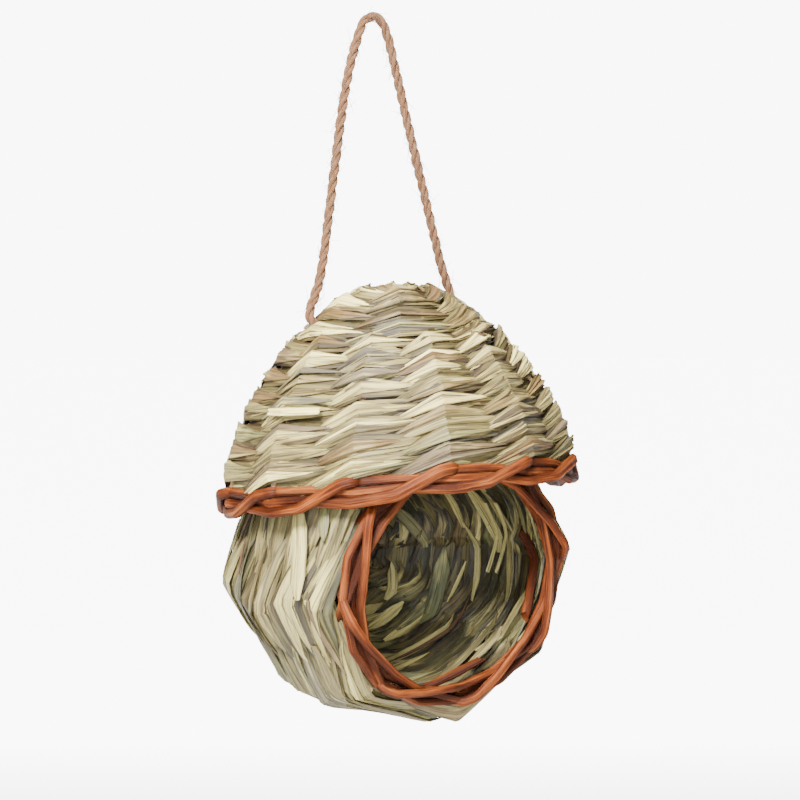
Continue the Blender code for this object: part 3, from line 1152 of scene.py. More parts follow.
@dataclass(frozen=True)
class Border:
    """A willow border: a rod comes out at every stake and runs past two or three more.

    `axial` and `radius` are its middle's, and `sense` says which way round the rods run.
    `core` holds the places of the rods behind the others, in rod widths, and `core_size`
    their size.  A rod strays by up to `loose` rod widths and slips by up to `slip` stakes,
    a core rod strays by up to `core_loose`.  A line is read at every `step` and rounded
    over `rounding` of them, and a rod has that many `places` round it.
    """

    axial: float
    radius: float
    stakes: int
    course: Course
    sense: int
    core: tuple[tuple[float, float], ...]
    rod_radius: float = 0.0015
    loose: float = 0.14
    slip: float = 0.04
    core_loose: float = 0.12
    core_size: float = 0.9
    rounding: int = 5
    step: float = 0.0007
    places: int = 12


@dataclass(frozen=True)
class Growth:
    """What makes an even rod look grown.

    `uneven` and `knot_rise` are shares of the radius, `uneven_every` and `knot_length`
    are in metres.  `ridge` is the height of the bark's ridges, one to `ridge_every`
    places round the rod, less `shrunk`; `wider` is its width to its thickness, and
    `slant` the slope of its cut ends.
    """

    uneven: float = 0.06
    uneven_every: float = 0.012
    knots: int = 2
    knot_rise: float = 0.10
    knot_length: float = 0.0012
    ridge: float = 0.15
    ridge_every: float = 1.5
    shrunk: float = 0.08
    wider: float = 1.14
    slant: float = 1.1


@dataclass(frozen=True)
class LooseEnd:
    """The end of a rod that lies inside the nest: degrees and millimetres."""

    angles: tuple[float, float]
    along: tuple[float, float]
    radius: float
    out: float = -6.2


ROOF_COURSE = Course((-0.14, 0.0, 0.14, 0.60, 1.0, 1.5, 2.0, 2.5, 2.95, 3.15),
                     (0.80, 1.00, 0.80, -0.80, -0.95, -0.25, -0.05, 0.70, 0.90, 0.70),
                     (-1.2, 0.30, 0.85, 0.75, 0.15, 0.1, 0.1, 0.05, 0.0, -1.1))
MOUTH_COURSE = Course((-0.20, 0.0, 0.12, 0.45, 1.0, 1.45, 2.0, 2.50, 3.0, 3.20),
                      (2.2, 0.0, -0.70, -0.80, -0.30, 0.15, 0.30, 0.45, 0.55, 2.2),
                      (0.30, 0.65, 0.35, -0.30, -1.20, -0.60, 0.45, 1.00, 0.70, 0.30))
LOOSE_ENDS = (
    LooseEnd((17.0, -26.0), (24.9, 2.0), 1.5),
    LooseEnd((-81.0, -53.0), (31.0, 22.3), 1.4),
)


class WillowPlaiter:
    """Bends willow rods round a rim."""

    def __init__(self, wall: Wall, border: Border, seed: Seed) -> None:
        """Keeps the wall, its border and the random source.

        Args:
            wall: The wall that the border closes.
            border: The border.
            seed: Which random source.
        """
        self.wall = wall
        self.border = border
        self.growth = Growth()
        self.rng = np.random.default_rng(seed.value)

    def route(self, places: Array, axial: Array, radial: Array) -> Array:
        """Centre line through points of the border, straight between them.

        The line is read at even distances and rounded over a few millimetres.

        Args:
            places: Stake numbers, whole or not.
            axial: Axial places in rod widths from the border's middle.
            radial: Radial places in rod widths.

        Returns:
            Points, stations x 3.
        """
        border, wide = self.border, 2 * self.border.rod_radius
        angle = self.wall.first_stake + places * math.tau / border.stakes
        own = self.wall.place(angle, border.axial + wide * axial, border.radius + wide * radial)
        soft = np.hanning(border.rounding + 2)[1:-1]
        padded = np.pad(evened(own, border.step), ((border.rounding // 2,) * 2, (0, 0)), "edge")
        return np.stack([np.convolve(padded[:, k], soft / soft.sum(), "valid")
                         for k in range(3)], axis=-1)

    def run(self, stake: int) -> Array:
        """Centre line of the rod that comes out at a stake.

        Args:
            stake: The stake's number.

        Returns:
            Points, stations x 3.
        """
        rng, border, course = self.rng, self.border, self.border.course
        count = len(course.places)
        places = np.array(course.places) + rng.uniform(-border.slip, border.slip, count)
        loose = rng.uniform(-border.loose, border.loose, (2, count))
        return self.route(stake + border.sense * places, np.array(course.axial) + loose[0],
                          np.array(course.radial) + loose[1])

    def ring(self, axial: float, radial: float) -> Array:
        """Centre line of a core rod, all round behind the others.

        Args:
            axial: Axial place in rod widths from the border's middle.
            radial: Radial place in rod widths.

        Returns:
            Points, stations x 3.
        """
        border = self.border
        places = np.arange(0.0, border.stakes + 0.9, 0.5)
        loose = self.rng.uniform(-border.core_loose, border.core_loose, (2, len(places)))
        return self.route(places, axial + loose[0], radial + loose[1])

    def rod(self, sheaf: Sheaf, line: Array, radius: float, thin: float = 0.82) -> None:
        """Adds a rod with a taper, small knobs, and slanting cut ends.

        Args:
            sheaf: Where the rod goes.
            line: Its centre line.
            radius: Its radius at the thick end.
            thin: Share of the radius left at the thin end.
        """
        rng, border, growth = self.rng, self.border, self.growth
        length = travelled(line)
        share = length / length[-1]
        size = (radius * (1 - (1 - thin) * share)
                * (1 + wander(rng, length, growth.uneven_every, growth.uneven)))
        for knot in rng.uniform(0, length[-1], growth.knots):
            size = size * (1 + growth.knot_rise
                           * np.exp(-((length - knot) / growth.knot_length) ** 2))
        turn = np.arange(border.places)
        ridges = wander(rng, turn * 1.0, growth.ridge_every, growth.ridge) - growth.shrunk
        grid = tube_grid(line, size, border.places, line - self.wall.centre, growth.wider, ridges)
        slope = np.cos(turn * math.tau / border.places) * growth.slant * radius
        tangent = unit(np.gradient(line, axis=0))
        grid[0] -= slope[:, None] * tangent[0]
        grid[-1] += slope[:, None] * tangent[-1]
        age = np.clip(rng.uniform(0, 0.45) + wander(rng, length, 0.02, 0.2), 0, 1)
        # The rod's painted shade: darker where it faces into the border.
        sheaf.add(grid, mirrored(border.places, radius), length, rng.uniform(0, 1), age,
                  self.painted_light(line, grid))

    def painted_light(self, line: Array, grid: Array) -> Array:
        """How open each point of a rod lies: 0 where it looks at the border's middle.

        The border's middle is read at the nearest of many points round the rim.  With c
        the cosine between a point's side of the rod and the way out from that middle,
        the value is 0.60 + 0.70 c, kept within 0 and 1.  The material paints shade on the
        rod where it is low, for the shade inside the border.

        Args:
            line: The rod's centre line.
            grid: Its surface, stations x places x 3.

        Returns:
            Values from 0 to 1, stations x places.
        """
        angle = np.linspace(0.0, math.tau, 400)
        core = self.wall.place(angle, np.full_like(angle, self.border.axial),
                               np.full_like(angle, self.border.radius))
        near = core[np.argmin(np.linalg.norm(line[:, None] - core[None], axis=2), axis=1)]
        away = line - near
        away /= np.maximum(np.linalg.norm(away, axis=1, keepdims=True), 1e-6)
        side = unit(grid - line[:, None])
        return np.clip(0.60 + 0.70 * np.sum(side * away[:, None], axis=2), 0.0, 1.0)


# ---------------------------------------------------------------- twine


@dataclass(frozen=True)
class Fuzz:
    """The twine's loose hairs.

    A hair is `length` long, its radius goes from `thick` to thin, and its pattern is
    `across` wide.  For its length it runs `along` the twine and `outward` from it, and
    bends aside by about `bend`.  None starts within `ends` of the twine's ends.
    """

    count: int = 420
    ends: float = 0.012
    length: tuple[float, float] = (0.0012, 0.0042)
    thick: tuple[float, float] = (0.00007, 0.00003)
    across: float = 0.0001
    along: tuple[float, float] = (0.5, 1.4)
    outward: float = 0.55
    bend: float = 0.30


@dataclass
class TwineLoop:
    """The jute loop: three plies laid round one smooth line, with loose hairs.

    Its holes are `row_gap` rows above the roof's foot, at the angles `left` and `right`.
    A knot stands `tail` inside the wall, its plies `knot_scale` times the loop's.
    """

    wall: RoofWall
    radius: float = 0.0015
    ply_radius: float = 0.00080
    ply_offset: float = 0.00078
    lay_length: float = 0.0125
    knot_radius: float = 0.0036
    row_gap: int = 9
    left: float = math.radians(-97)
    right: float = math.radians(112)
    tail: float = 0.003
    knot_scale: float = 0.62

    def spot(self, angle: float, out: float) -> Array:
        """A point beside one of the loop's holes."""
        seam = self.wall.foot + self.row_gap * self.wall.pitch
        return self.wall.at(np.float64(angle), np.float64(seam), np.float64(out))

    def route(self) -> Array:
        """Points of the loop's centre line, every half millimetre or so.

        A Catmull-Rom curve through the route's own points, read at even distances.

        Returns:
            Points, stations x 3.
        """
        half = self.wall.sizes.wall_half
        inside, outside, spot = -half - self.tail, half + 0.0025, self.spot
        own = [spot(self.left, inside), spot(self.left, 0.0), spot(self.left, outside),
               (-0.0212, -0.0044, -0.080), (-0.0158, -0.0028, -0.050), (-0.0104, -0.0012, -0.022),
               (-0.0057, -0.0004, -0.0068), (-0.0032, 0.0, -0.0016), (0.0, 0.0, 0.0),
               (0.0032, 0.0, -0.0014), (0.0055, 0.0, -0.0060), (0.0082, 0.0002, -0.0150),
               (0.0170, 0.0009, -0.0460), (0.0258, 0.0015, -0.0760),
               spot(self.right, outside), spot(self.right, 0.0), spot(self.right, inside)]
        rows = np.array([tuple(point) for point in own])
        rows = np.concatenate([[2 * rows[0] - rows[1]], rows, [2 * rows[-1] - rows[-2]]])
        t = np.linspace(0.0, 1.0, 24, endpoint=False)[None, :, None]
        a, b, c, d = (rows[k:len(rows) - 3 + k][:, None, :] for k in range(4))
        fine = 0.5 * (2 * b + (c - a) * t + (2 * a - 5 * b + 4 * c - d) * t ** 2
                      + (3 * b - a - 3 * c + d) * t ** 3)
        return evened(np.concatenate([fine.reshape(-1, 3), rows[-2:-1]]), 0.0006)

    def plies(self, sheaf: Sheaf, line: Array, rng: np.random.Generator,
              scale: float = 1.0) -> None:
        """Lays three plies round a line: ply k stands at angle 2 pi (s / lay + k / 3).

        Args:
            sheaf: Where the plies go.
            line: The line.
            rng: Random source.
            scale: Size of the plies to the loop's own.
        """
        s = travelled(line)
        up = np.array([0.0, -1.0, 0.02])
        first, second = side_frames(line, np.broadcast_to(up, line.shape))
        for ply in range(3):
            turn = (math.tau * (s / (self.lay_length * scale) + ply / 3)
                    + wander(rng, s, 0.009, 0.16))
            offset = self.ply_offset * scale * (1 + wander(rng, s, 0.004, 0.10))
            path = (line + (offset * np.cos(turn))[:, None] * first
                    + (offset * np.sin(turn))[:, None] * second)
            size = self.ply_radius * scale * (1 + wander(rng, s, 0.003, 0.12))
            grid = tube_grid(path, size, 8, np.broadcast_to(up, line.shape))
            age = np.clip(0.3 + wander(rng, s, 0.01, 0.3), 0, 1)
            sheaf.add(grid, mirrored(8, self.ply_radius), s, rng.uniform(0, 1), age)

    def fuzz(self, sheaf: Sheaf, line: Array, rng: np.random.Generator) -> None:
        """Adds loose hairs: each leaves the twine on a slant and bends away.

        With t from 0 to 1, a hair is start + length (t slant + t^2 bend).

        Args:
            sheaf: Where the hairs go.
            line: The twine's centre line.
            rng: Random source.
        """
        fuzz, s = Fuzz(), travelled(line)
        tangent = np.gradient(line, s, axis=0)
        t = np.linspace(0.0, 1.0, 6)[:, None]
        for start in rng.uniform(fuzz.ends, s[-1] - fuzz.ends, fuzz.count):
            at = np.array([np.interp(start, s, line[:, k]) for k in range(3)])
            ahead = np.array([np.interp(start, s, tangent[:, k]) for k in range(3)])
            away = rng.normal(size=3)
            away -= ahead * (away @ ahead)
            away /= np.linalg.norm(away)
            bend = rng.normal(size=3) * fuzz.bend
            length = rng.uniform(*fuzz.length)
            slant = rng.choice([-1.0, 1.0]) * rng.uniform(*fuzz.along)
            hair = (at + away * self.radius * 0.85
                    + length * (t * (away * fuzz.outward + ahead * slant) + t * t * bend))
            grid = tube_grid(hair, np.linspace(*fuzz.thick, len(t)), 4,
                             np.broadcast_to(away, hair.shape))
            sheaf.add(grid, mirrored(4, fuzz.across), t[:, 0] * length, rng.uniform(0, 1), 0.1)

    def knot(self, name: str, angle: float, rng: np.random.Generator) -> Sheaf:
        """An overhand knot inside the roof: a trefoil of the same twine.

        With t round the circle, the line is (sin t + 2 sin 2t, cos t - 2 cos 2t,
        -1.4 sin 3t), brought down to the knot's size.

        Args:
            name: The piece's name.
            angle: Angle of the hole that it stops.
            rng: Random source.

        Returns:
            The knot's plies.
        """
        sizes = self.wall.sizes
        middle = self.spot(angle, -sizes.wall_half - self.tail - self.knot_radius - sizes.gap)
        t = np.linspace(0.05, math.tau - 0.05, 150)
        line = np.stack([np.sin(t) + 2 * np.sin(2 * t), np.cos(t) - 2 * np.cos(2 * t),
                         -1.4 * np.sin(3 * t)], axis=-1)
        line = middle + line / 3.0 * (self.knot_radius - 0.0012)
        sheaf = Sheaf(name)
        self.plies(sheaf, line, rng, self.knot_scale)
        return sheaf

    def build(self, material: bpy.types.Material) -> None:
        """Args:
            material: The jute's finish.
        """
        rng = np.random.default_rng(Seed.JUTE.value)
        line = self.route()
        knots = [dress(self.knot(f"jute_knot_{side}", angle, rng).build(Crisp.FIBRE), material,
                       Slot.TWINE, (f"twine_knot_{side}",))
                 for side, angle in (("left", self.left), ("right", self.right))]
        sheaf, hairs = Sheaf("jute_loop"), Sheaf("jute_hairs")
        self.plies(sheaf, line, rng)
        self.fuzz(hairs, line, rng)
        loop = dress(sheaf.build(Crisp.FIBRE), material, Slot.TWINE, ("hanging_twine",))
        knots.append(dress(hairs.build(Crisp.FIBRE), material, Slot.TWINE))
        length = float(travelled(line)[-1])
        LOG.info("twine length %.1f mm", length / MM)
        2 * self.radius


# ---------------------------------------------------------------- materials


class Nodes:
    """Builds one material's nodes, with arithmetic on sockets."""

    def __init__(self, name: str, tree: bpy.types.NodeTree | None = None) -> None:
        """Starts a material with a Principled shader, or goes on in a tree that is there.

        Args:
            name: The material's name.
            tree: A node tree to go on in.
        """
        if tree is None:
            self.material = bpy.data.materials.new(name)
            self.material.use_nodes = True
            tree = self.material.node_tree
            self.shader = tree.nodes["Principled BSDF"]
        self.tree = tree

    def node(self, kind: str, settings: dict | None = None, **sockets: object) -> bpy.types.Node:
        """Adds a node.

        Args:
            kind: The node's type, without "ShaderNode".
            settings: Values of its own properties; "stops" are a ramp's (place, colour).
            sockets: Values or links of its inputs; an underscore stands for a space.

        Returns:
            The node.
        """
        node = self.tree.nodes.new("ShaderNode" + kind)
        for key, value in (settings or {}).items():
            if key == "stops":
                ramp = node.color_ramp
                while len(ramp.elements) < len(value):
                    ramp.elements.new(0.5)
                for element, (place, colour) in zip(ramp.elements, value):
                    element.position = place
                    element.color = (*colour, 1.0)
            else:
                setattr(node, key, value)
        for key, value in sockets.items():
            name = key.replace("_", " ")
            socket = node.inputs[int(name[1:])] if name[1:].isdigit() else node.inputs[name]
            self.plug(socket, value)
        return node

    def plug(self, socket: bpy.types.NodeSocket, value: object) -> None:
        """Links or sets one input.

        Args:
            socket: The input.
            value: A wire, a colour, a vector or a number.
        """
        if isinstance(value, Wire):
            self.tree.links.new(value.socket, socket)
        elif isinstance(value, tuple) and len(value) == 3 and socket.type == "RGBA":
            socket.default_value = (*value, 1.0)
        else:
            socket.default_value = value

    def wire(self, kind: str, output: int | str = 0, settings: dict | None = None,
             **sockets: object) -> "Wire":
        """Adds a node and gives one of its outputs."""
        return Wire(self, self.node(kind, settings, **sockets).outputs[output])

    def value(self, name: str) -> "Wire":
        """A value kept on the mesh's points."""
        return self.wire("Attribute", "Fac", {"attribute_name": name})

    def mix(self, share: object, first: object, second: object, blend: str = "MIX") -> "Wire":
        """Mixes two colours."""
        return self.wire("Mix", 2, {"data_type": "RGBA", "blend_type": blend},
                         i0=share, i6=first, i7=second)

    def ramp(self, share: object, *stops: tuple[float, tuple[float, float, float]]) -> "Wire":
        """A colour ramp."""
        return self.wire("ValToRGB", 0, {"stops": stops}, Fac=share)

    def noise(self, vector: object, scale: float, detail: float = 3.0,
              rough: float = 0.55) -> "Wire":
        """A cloudy value round 0.5."""
        return self.wire("TexNoise", 0, None, Vector=vector, Scale=scale, Detail=detail,
                         Roughness=rough)

    def stretched(self, x: float, y: float, shift: object = 0.0) -> "Wire":
        """The piece's own map, stretched, and moved for each strip.

        Args:
            x: Stretch across the strip, in patterns to a centimetre.
            y: Stretch along it.
            shift: Where in the pattern the strip lies.

        Returns:
            A vector.
        """
        flat = self.wire("UVMap", 0, {"uv_map": "along"})
        parts = self.node("SeparateXYZ", None, Vector=flat)
        return self.wire("CombineXYZ", 0, None, X=Wire(self, parts.outputs[0]) * x,
                         Y=Wire(self, parts.outputs[1]) * y, Z=shift)

    def finish(self, rough: object, bump: object, depth: float, colour: object,
               sheen: float = 0.0, specular: float = 0.5) -> bpy.types.Material:
        """Joins the colour, roughness and bump to the shader.

        Args:
            rough: Roughness.
            bump: Height of the relief, 0 to 1.
            depth: Depth of the relief, in metres.
            colour: Base colour.
            sheen: Sheen weight.
            specular: Specular level.

        Returns:
            The finished material.
        """
        self.plug(self.shader.inputs["Base Color"], colour)
        self.plug(self.shader.inputs["Roughness"], rough)
        self.shader.inputs["Sheen Weight"].default_value = sheen
        self.shader.inputs["Specular IOR Level"].default_value = specular
        normal = self.wire("Bump", 0, None, Height=bump, Distance=depth, Strength=1.0)
        self.plug(self.shader.inputs["Normal"], normal)
        return self.material


@dataclass(frozen=True)
class Wire:
    """A socket that takes part in arithmetic by adding Math nodes."""

    nodes: Nodes
    socket: bpy.types.NodeSocket

    def maths(self, operation: str, *values: object) -> "Wire":
        """Adds a Math node over values, or over this one alone."""
        sockets = {f"i{k}": value for k, value in enumerate(values or (self,))}
        return self.nodes.wire("Math", 0, {"operation": operation}, **sockets)

    def __add__(self, other: object) -> "Wire":
        """Sum."""
        return self.maths("ADD", self, other)

    __radd__ = __add__

    def __mul__(self, other: object) -> "Wire":
        """Product."""
        return self.maths("MULTIPLY", self, other)

    __rmul__ = __mul__

    def __sub__(self, other: object) -> "Wire":
        """Difference."""
        return self.maths("SUBTRACT", self, other)

    def __rsub__(self, other: object) -> "Wire":
        """Difference, the other way round."""
        return self.maths("SUBTRACT", other, self)

    def clamp(self, low: float, high: float) -> "Wire":
        """The share of the way from low to high, kept within 0 and 1."""
        return self.nodes.wire("MapRange", 0, {"clamp": True}, Value=self, From_Min=low,
                               From_Max=high)


@dataclass(frozen=True)
class GrassFinish:
    """Dry leaves: pale straw, sage and tan, with fine veins along them."""

    name: str = "dry_grass"
    sage: tuple[float, float, float] = (0.115, 0.128, 0.046)
    straw: tuple[float, float, float] = (0.27, 0.220, 0.078)
    cream: tuple[float, float, float] = (0.86, 0.72, 0.27)
    tan: tuple[float, float, float] = (0.18, 0.106, 0.034)
    ash: tuple[float, float, float] = (0.13, 0.112, 0.070)
    brown: tuple[float, float, float] = (0.10, 0.040, 0.015)
    vein: tuple[float, float, float] = (0.22, 0.18, 0.11)
    relief: float = 0.00055
    painted_shade: tuple[float, float, float] = (0.10, 0.082, 0.046)

    def make(self) -> bpy.types.Material:
        """Builds the material.

        Returns:
            The finished material.
        """
        n = Nodes(self.name)
        tone, age = n.value("tone"), n.value("age")
        base = n.ramp(tone, (0.0, self.sage), (0.22, self.straw), (0.45, self.cream),
                      (0.62, self.straw), (0.80, self.tan), (0.92, self.ash), (1.0, self.sage))
        veins = n.noise(n.stretched(4.0, 0.14, tone * 40.0), 4.0, 4.0, 0.6)
        broad = n.noise(n.stretched(1.6, 0.30, tone * 23.0), 2.0, 2.0)
        spots = n.noise(n.stretched(3.0, 1.2, tone * 61.0), 3.0, 5.0, 0.65)
        base = n.mix(broad.clamp(0.52, 0.70) * 0.35, base, self.cream)
        base = n.mix(veins.clamp(0.46, 0.64) * 0.85, base, self.vein, "MULTIPLY")
        base = n.mix((age + spots * 0.5 - 0.25).clamp(0.35, 0.95) * 0.8, base, self.brown)
        base = n.mix(spots.clamp(0.62, 0.80) * 0.35, base, self.tan)
        # Painted shade: the leaf is multiplied towards a dark colour where its open value is low.
        base = n.mix((1.0 - n.value("open")) * 0.92, base, self.painted_shade, "MULTIPLY")
        rough = 0.44 + veins * 0.22 + age * 0.15
        bump = broad * 0.9 - veins * 0.7
        return n.finish(rough, bump, self.relief, base, 0.0, 0.45)


DULL_GRASS = GrassFinish("dull_grass", sage=(0.110, 0.118, 0.047), straw=(0.205, 0.172, 0.066),
                         cream=(0.58, 0.49, 0.18), tan=(0.140, 0.096, 0.036),
                         ash=(0.135, 0.115, 0.065))


@dataclass(frozen=True)
class WillowFinish:
    """Peeled-looking brown willow bark, streaked along, with a dull gloss."""

    top: tuple[float, float, float] = (0.29, 0.092, 0.022)
    bright: tuple[float, float, float] = (0.165, 0.037, 0.0060)
    middle: tuple[float, float, float] = (0.078, 0.0145, 0.0022)
    dark: tuple[float, float, float] = (0.022, 0.004, 0.0008)
    pore: tuple[float, float, float] = (0.30, 0.13, 0.04)
    relief: float = 0.00060

    def make(self) -> bpy.types.Material:
        """Builds the material.

        Returns:
            The finished material.
        """
        n = Nodes("willow_bark")
        tone, age = n.value("tone"), n.value("age")
        streaks = n.noise(n.stretched(2.4, 0.11, tone * 31.0), 4.0, 4.0, 0.6)
        patches = n.noise(n.stretched(0.8, 0.25, tone * 17.0), 3.0, 3.0)
        base = n.ramp(streaks.clamp(0.34, 0.64) * 0.70 + patches.clamp(0.3, 0.7) * 0.30,
                      (0.06, self.dark), (0.34, self.middle), (0.62, self.bright),
                      (0.95, self.top))
        # Painted shade: darker where the rod faces into the border, as its open value says.
        base = n.mix((1.0 - n.value("open")) * 0.9, base, self.dark)
        base = n.mix(age * 0.45, base, self.dark)
        pores = n.wire("TexVoronoi", 0, None, Vector=n.stretched(7.0, 3.0, tone * 9.0), Scale=3.0)
        base = n.mix((1.0 - pores.clamp(0.05, 0.16)) * 0.30, base, self.pore)
        rough = 0.46 + streaks * 0.25 + age * 0.2
        return n.finish(rough, streaks * 1.1 + patches * 0.3, self.relief, base, 0.0, 0.14)


@dataclass(frozen=True)
class TwineFinish:
    """Jute: warm grey-brown fibres."""

    bright: tuple[float, float, float] = (0.25, 0.135, 0.066)
    pale: tuple[float, float, float] = (0.150, 0.069, 0.030)
    deep: tuple[float, float, float] = (0.060, 0.023, 0.009)

    def make(self) -> bpy.types.Material:
        """Builds the material.

        Returns:
            The finished material.
        """
        n = Nodes("jute_fibre")
        tone = n.value("tone")
        fibres = n.noise(n.stretched(14.0, 1.4, tone * 13.0), 5.0, 4.0, 0.65)
        base = n.ramp(fibres.clamp(0.3, 0.7), (0.0, self.deep), (0.55, self.pale),
                      (1.0, self.bright))
        return n.finish(0.78 + fibres * 0.15, fibres, 0.00025, base, 0.08, 0.2)


@dataclass(frozen=True)
class StakeFinish:
    """Rush stakes inside the walls: brown, ribbed along."""

    pale: tuple[float, float, float] = (0.42, 0.26, 0.14)
    deep: tuple[float, float, float] = (0.17, 0.085, 0.045)

    def make(self) -> bpy.types.Material:
        """Builds the material from object coordinates, as kept pieces have no map.

        Returns:
            The finished material.
        """
        n = Nodes("rush_stake")
        place = n.wire("TexCoord", "Object")
        grain = n.noise(place, 900.0, 4.0)
        patches = n.noise(place, 120.0, 2.0)
        base = n.ramp(grain.clamp(0.3, 0.7) * 0.5 + patches * 0.5, (0.2, self.deep),
                      (0.8, self.pale))
        return n.finish(0.6 + grain * 0.2, grain, 0.0002, base, 0.0, 0.4)


# ---------------------------------------------------------------- studio


@dataclass(frozen=True)
class Lamp:
    """A soft square light, placed from the target by the view's own directions.

    `side` is to the right, `depth` towards the viewer and `height` up, all in metres.
    """

    name: str
    side: float
    height: float
    depth: float
    power: float
    size: float = 0.30
    colour: tuple[float, float, float] = (1.0, 1.0, 1.0)


AIM_FROM_RIM = Vector((0.00055, -0.00033, 0.0286))
LAMPS = (
    Lamp("key", -0.24, 0.60, 0.95, 74.0),
    Lamp("top", 0.05, 1.10, 0.35, 10.0, size=0.25),
    Lamp("fill", -0.02, 0.05, 1.1, 13.0, colour=(0.88, 0.94, 1.0)),
)


@dataclass(frozen=True)
class Studio:
    """A pale floor, a pale world, soft lights and the camera.

    The floor lies `floor_drop` below the house.  Far behind the house it glows with the
    strength `backdrop`, as the world does there; all round, the world's is `surround`.
    """

    target: Vector
    distance: float = 0.80
    lens: float = 113.15
    azimuth: float = math.radians(-31)
    elevation: float = math.radians(4)
    backdrop: float = 9.0
    surround: float = 0.16
    floor_radius: float = 6.0
    floor_drop: float = 0.20

    def directions(self) -> tuple[Vector, Vector]:
        """The camera's right and backward directions.

        Returns:
            Two unit vectors.
        """
        a, e = self.azimuth, self.elevation
        back = Vector((math.sin(a) * math.cos(e), -math.cos(a) * math.cos(e), math.sin(e)))
        return Vector((math.cos(a), math.sin(a), 0.0)), back

    def camera(self) -> None:
        """Places the camera so that the loop's top and the house fill the frame."""
        right, back = self.directions()
        data = bpy.data.cameras.new("view")
        data.lens, data.sensor_width = self.lens, 36.0
        data.clip_start, data.clip_end = 0.01, 50.0
        eye = bpy.data.objects.new("view", data)
        eye.location = self.target + back * self.distance
        eye.rotation_mode = "QUATERNION"
        eye.rotation_quaternion = (-back).to_track_quat("-Z", "Y")
        bpy.context.scene.collection.objects.link(eye)
        bpy.context.scene.camera = eye

    def light(self, lamp: Lamp) -> None:
        """Hangs a lamp so that it faces the house.

        Args:
            lamp: The lamp.
        """
        right, back = self.directions()
        data = bpy.data.lights.new(lamp.name, "AREA")
        data.size, data.energy, data.color = lamp.size, lamp.power, lamp.colour
        light = bpy.data.objects.new(lamp.name, data)
        light.location = (self.target + right * lamp.side + back * lamp.depth
                          + Vector((0, 0, lamp.height)))
        light.rotation_mode = "QUATERNION"
        light.rotation_quaternion = (self.target - light.location).to_track_quat("-Z", "Y")
        bpy.context.scene.collection.objects.link(light)

    def floor(self, foot: float) -> None:
        """Lays a wide round floor, a grid of radius by angle, with its pale glow.

        Args:
            foot: Height of the lowest point of the house.
        """
        radius, angle = np.meshgrid(np.linspace(0.0, 1.0, 10) ** 2 * self.floor_radius,
                                    np.linspace(0.0, math.tau, 49)[:-1], indexing="ij")
        points = np.stack([radius * np.cos(angle), radius * np.sin(angle),
                           np.full_like(radius, foot - self.floor_drop)], axis=-1).reshape(-1, 3)
        mesh = bpy.data.meshes.new("floor")
        mesh.from_pydata(points.tolist(), [], round_quads(*radius.shape).tolist())
        mesh.materials.append(self.floor_finish())
        floor = bpy.data.objects.new("floor", mesh)
        bpy.context.scene.collection.objects.link(floor)

    def floor_finish(self) -> bpy.types.Material:
        """Builds the floor's material, which glows far behind the house.

        Returns:
            The finished material.
        """
        n = Nodes("pale_floor")
        place = n.wire("TexCoord", "Object")
        cloud = n.noise(place, 3.0)
        aside = self.far(n, place, self.directions()[0]).maths("ABSOLUTE")
        glow = self.behind(n, place).clamp(0.55, 0.95) * (1.0 - aside.clamp(1.1, 1.8))
        n.plug(n.shader.inputs["Emission Color"],
               n.mix(glow, (0.03, 0.03, 0.03), (1.0, 1.0, 1.0)))
        n.shader.inputs["Emission Strength"].default_value = self.backdrop
        return n.finish(0.85 + cloud * 0.05, cloud, 0.0005, (0.62, 0.62, 0.61))

    def far(self, n: Nodes, place: Wire, way: Vector) -> Wire:
        """How far a point or direction lies along a direction."""
        return n.wire("VectorMath", 1, {"operation": "DOT_PRODUCT"}, i0=place, i1=tuple(way))

    def behind(self, n: Nodes, place: Wire) -> Wire:
        """How far a point or direction lies behind the house, seen from the camera."""
        return self.far(n, place, -self.directions()[1])

    def world(self) -> None:
        """Makes a surround that is pale behind the house and dim elsewhere."""
        world = bpy.data.worlds.new("pale")
        world.use_nodes = True
        n = Nodes("surround", world.node_tree)
        share = self.behind(n, n.wire("TexCoord", "Generated")).clamp(0.92, 0.96)
        shade = world.node_tree.nodes["Background"]
        shade.inputs["Color"].default_value = (1.0, 1.0, 1.0, 1.0)
        n.plug(shade.inputs["Strength"], self.surround + share * (self.backdrop - self.surround))
        bpy.context.scene.world = world


# ---------------------------------------------------------------- the house


@dataclass(frozen=True)
class Closing:
    """How a pole of the weave is closed: small twined rings, and leaf ends tucked over.

    `rings` are shares of the pole's radius.  A leaf reaches up to `reach` either way along
    the meridian and lies up to `aside` from the pole; it stands `height` outside the wall
    with a rise of `arch` at the pole, and each lies `over` the one before.
    """

    rings: tuple[float, ...] = (0.70, 0.34)
    ring_width: float = 0.0062
    ring_stakes: int = 4
    ends: int = 7
    stations: int = 15
    reach: tuple[float, float] = (0.004, 0.0065)
    aside: float = 0.0012
    height: float = 1.4 * MM
    arch: float = 0.5 * MM
    over: float = 0.16 * MM
    half: float = 0.0017
    crumple: float = 0.00012


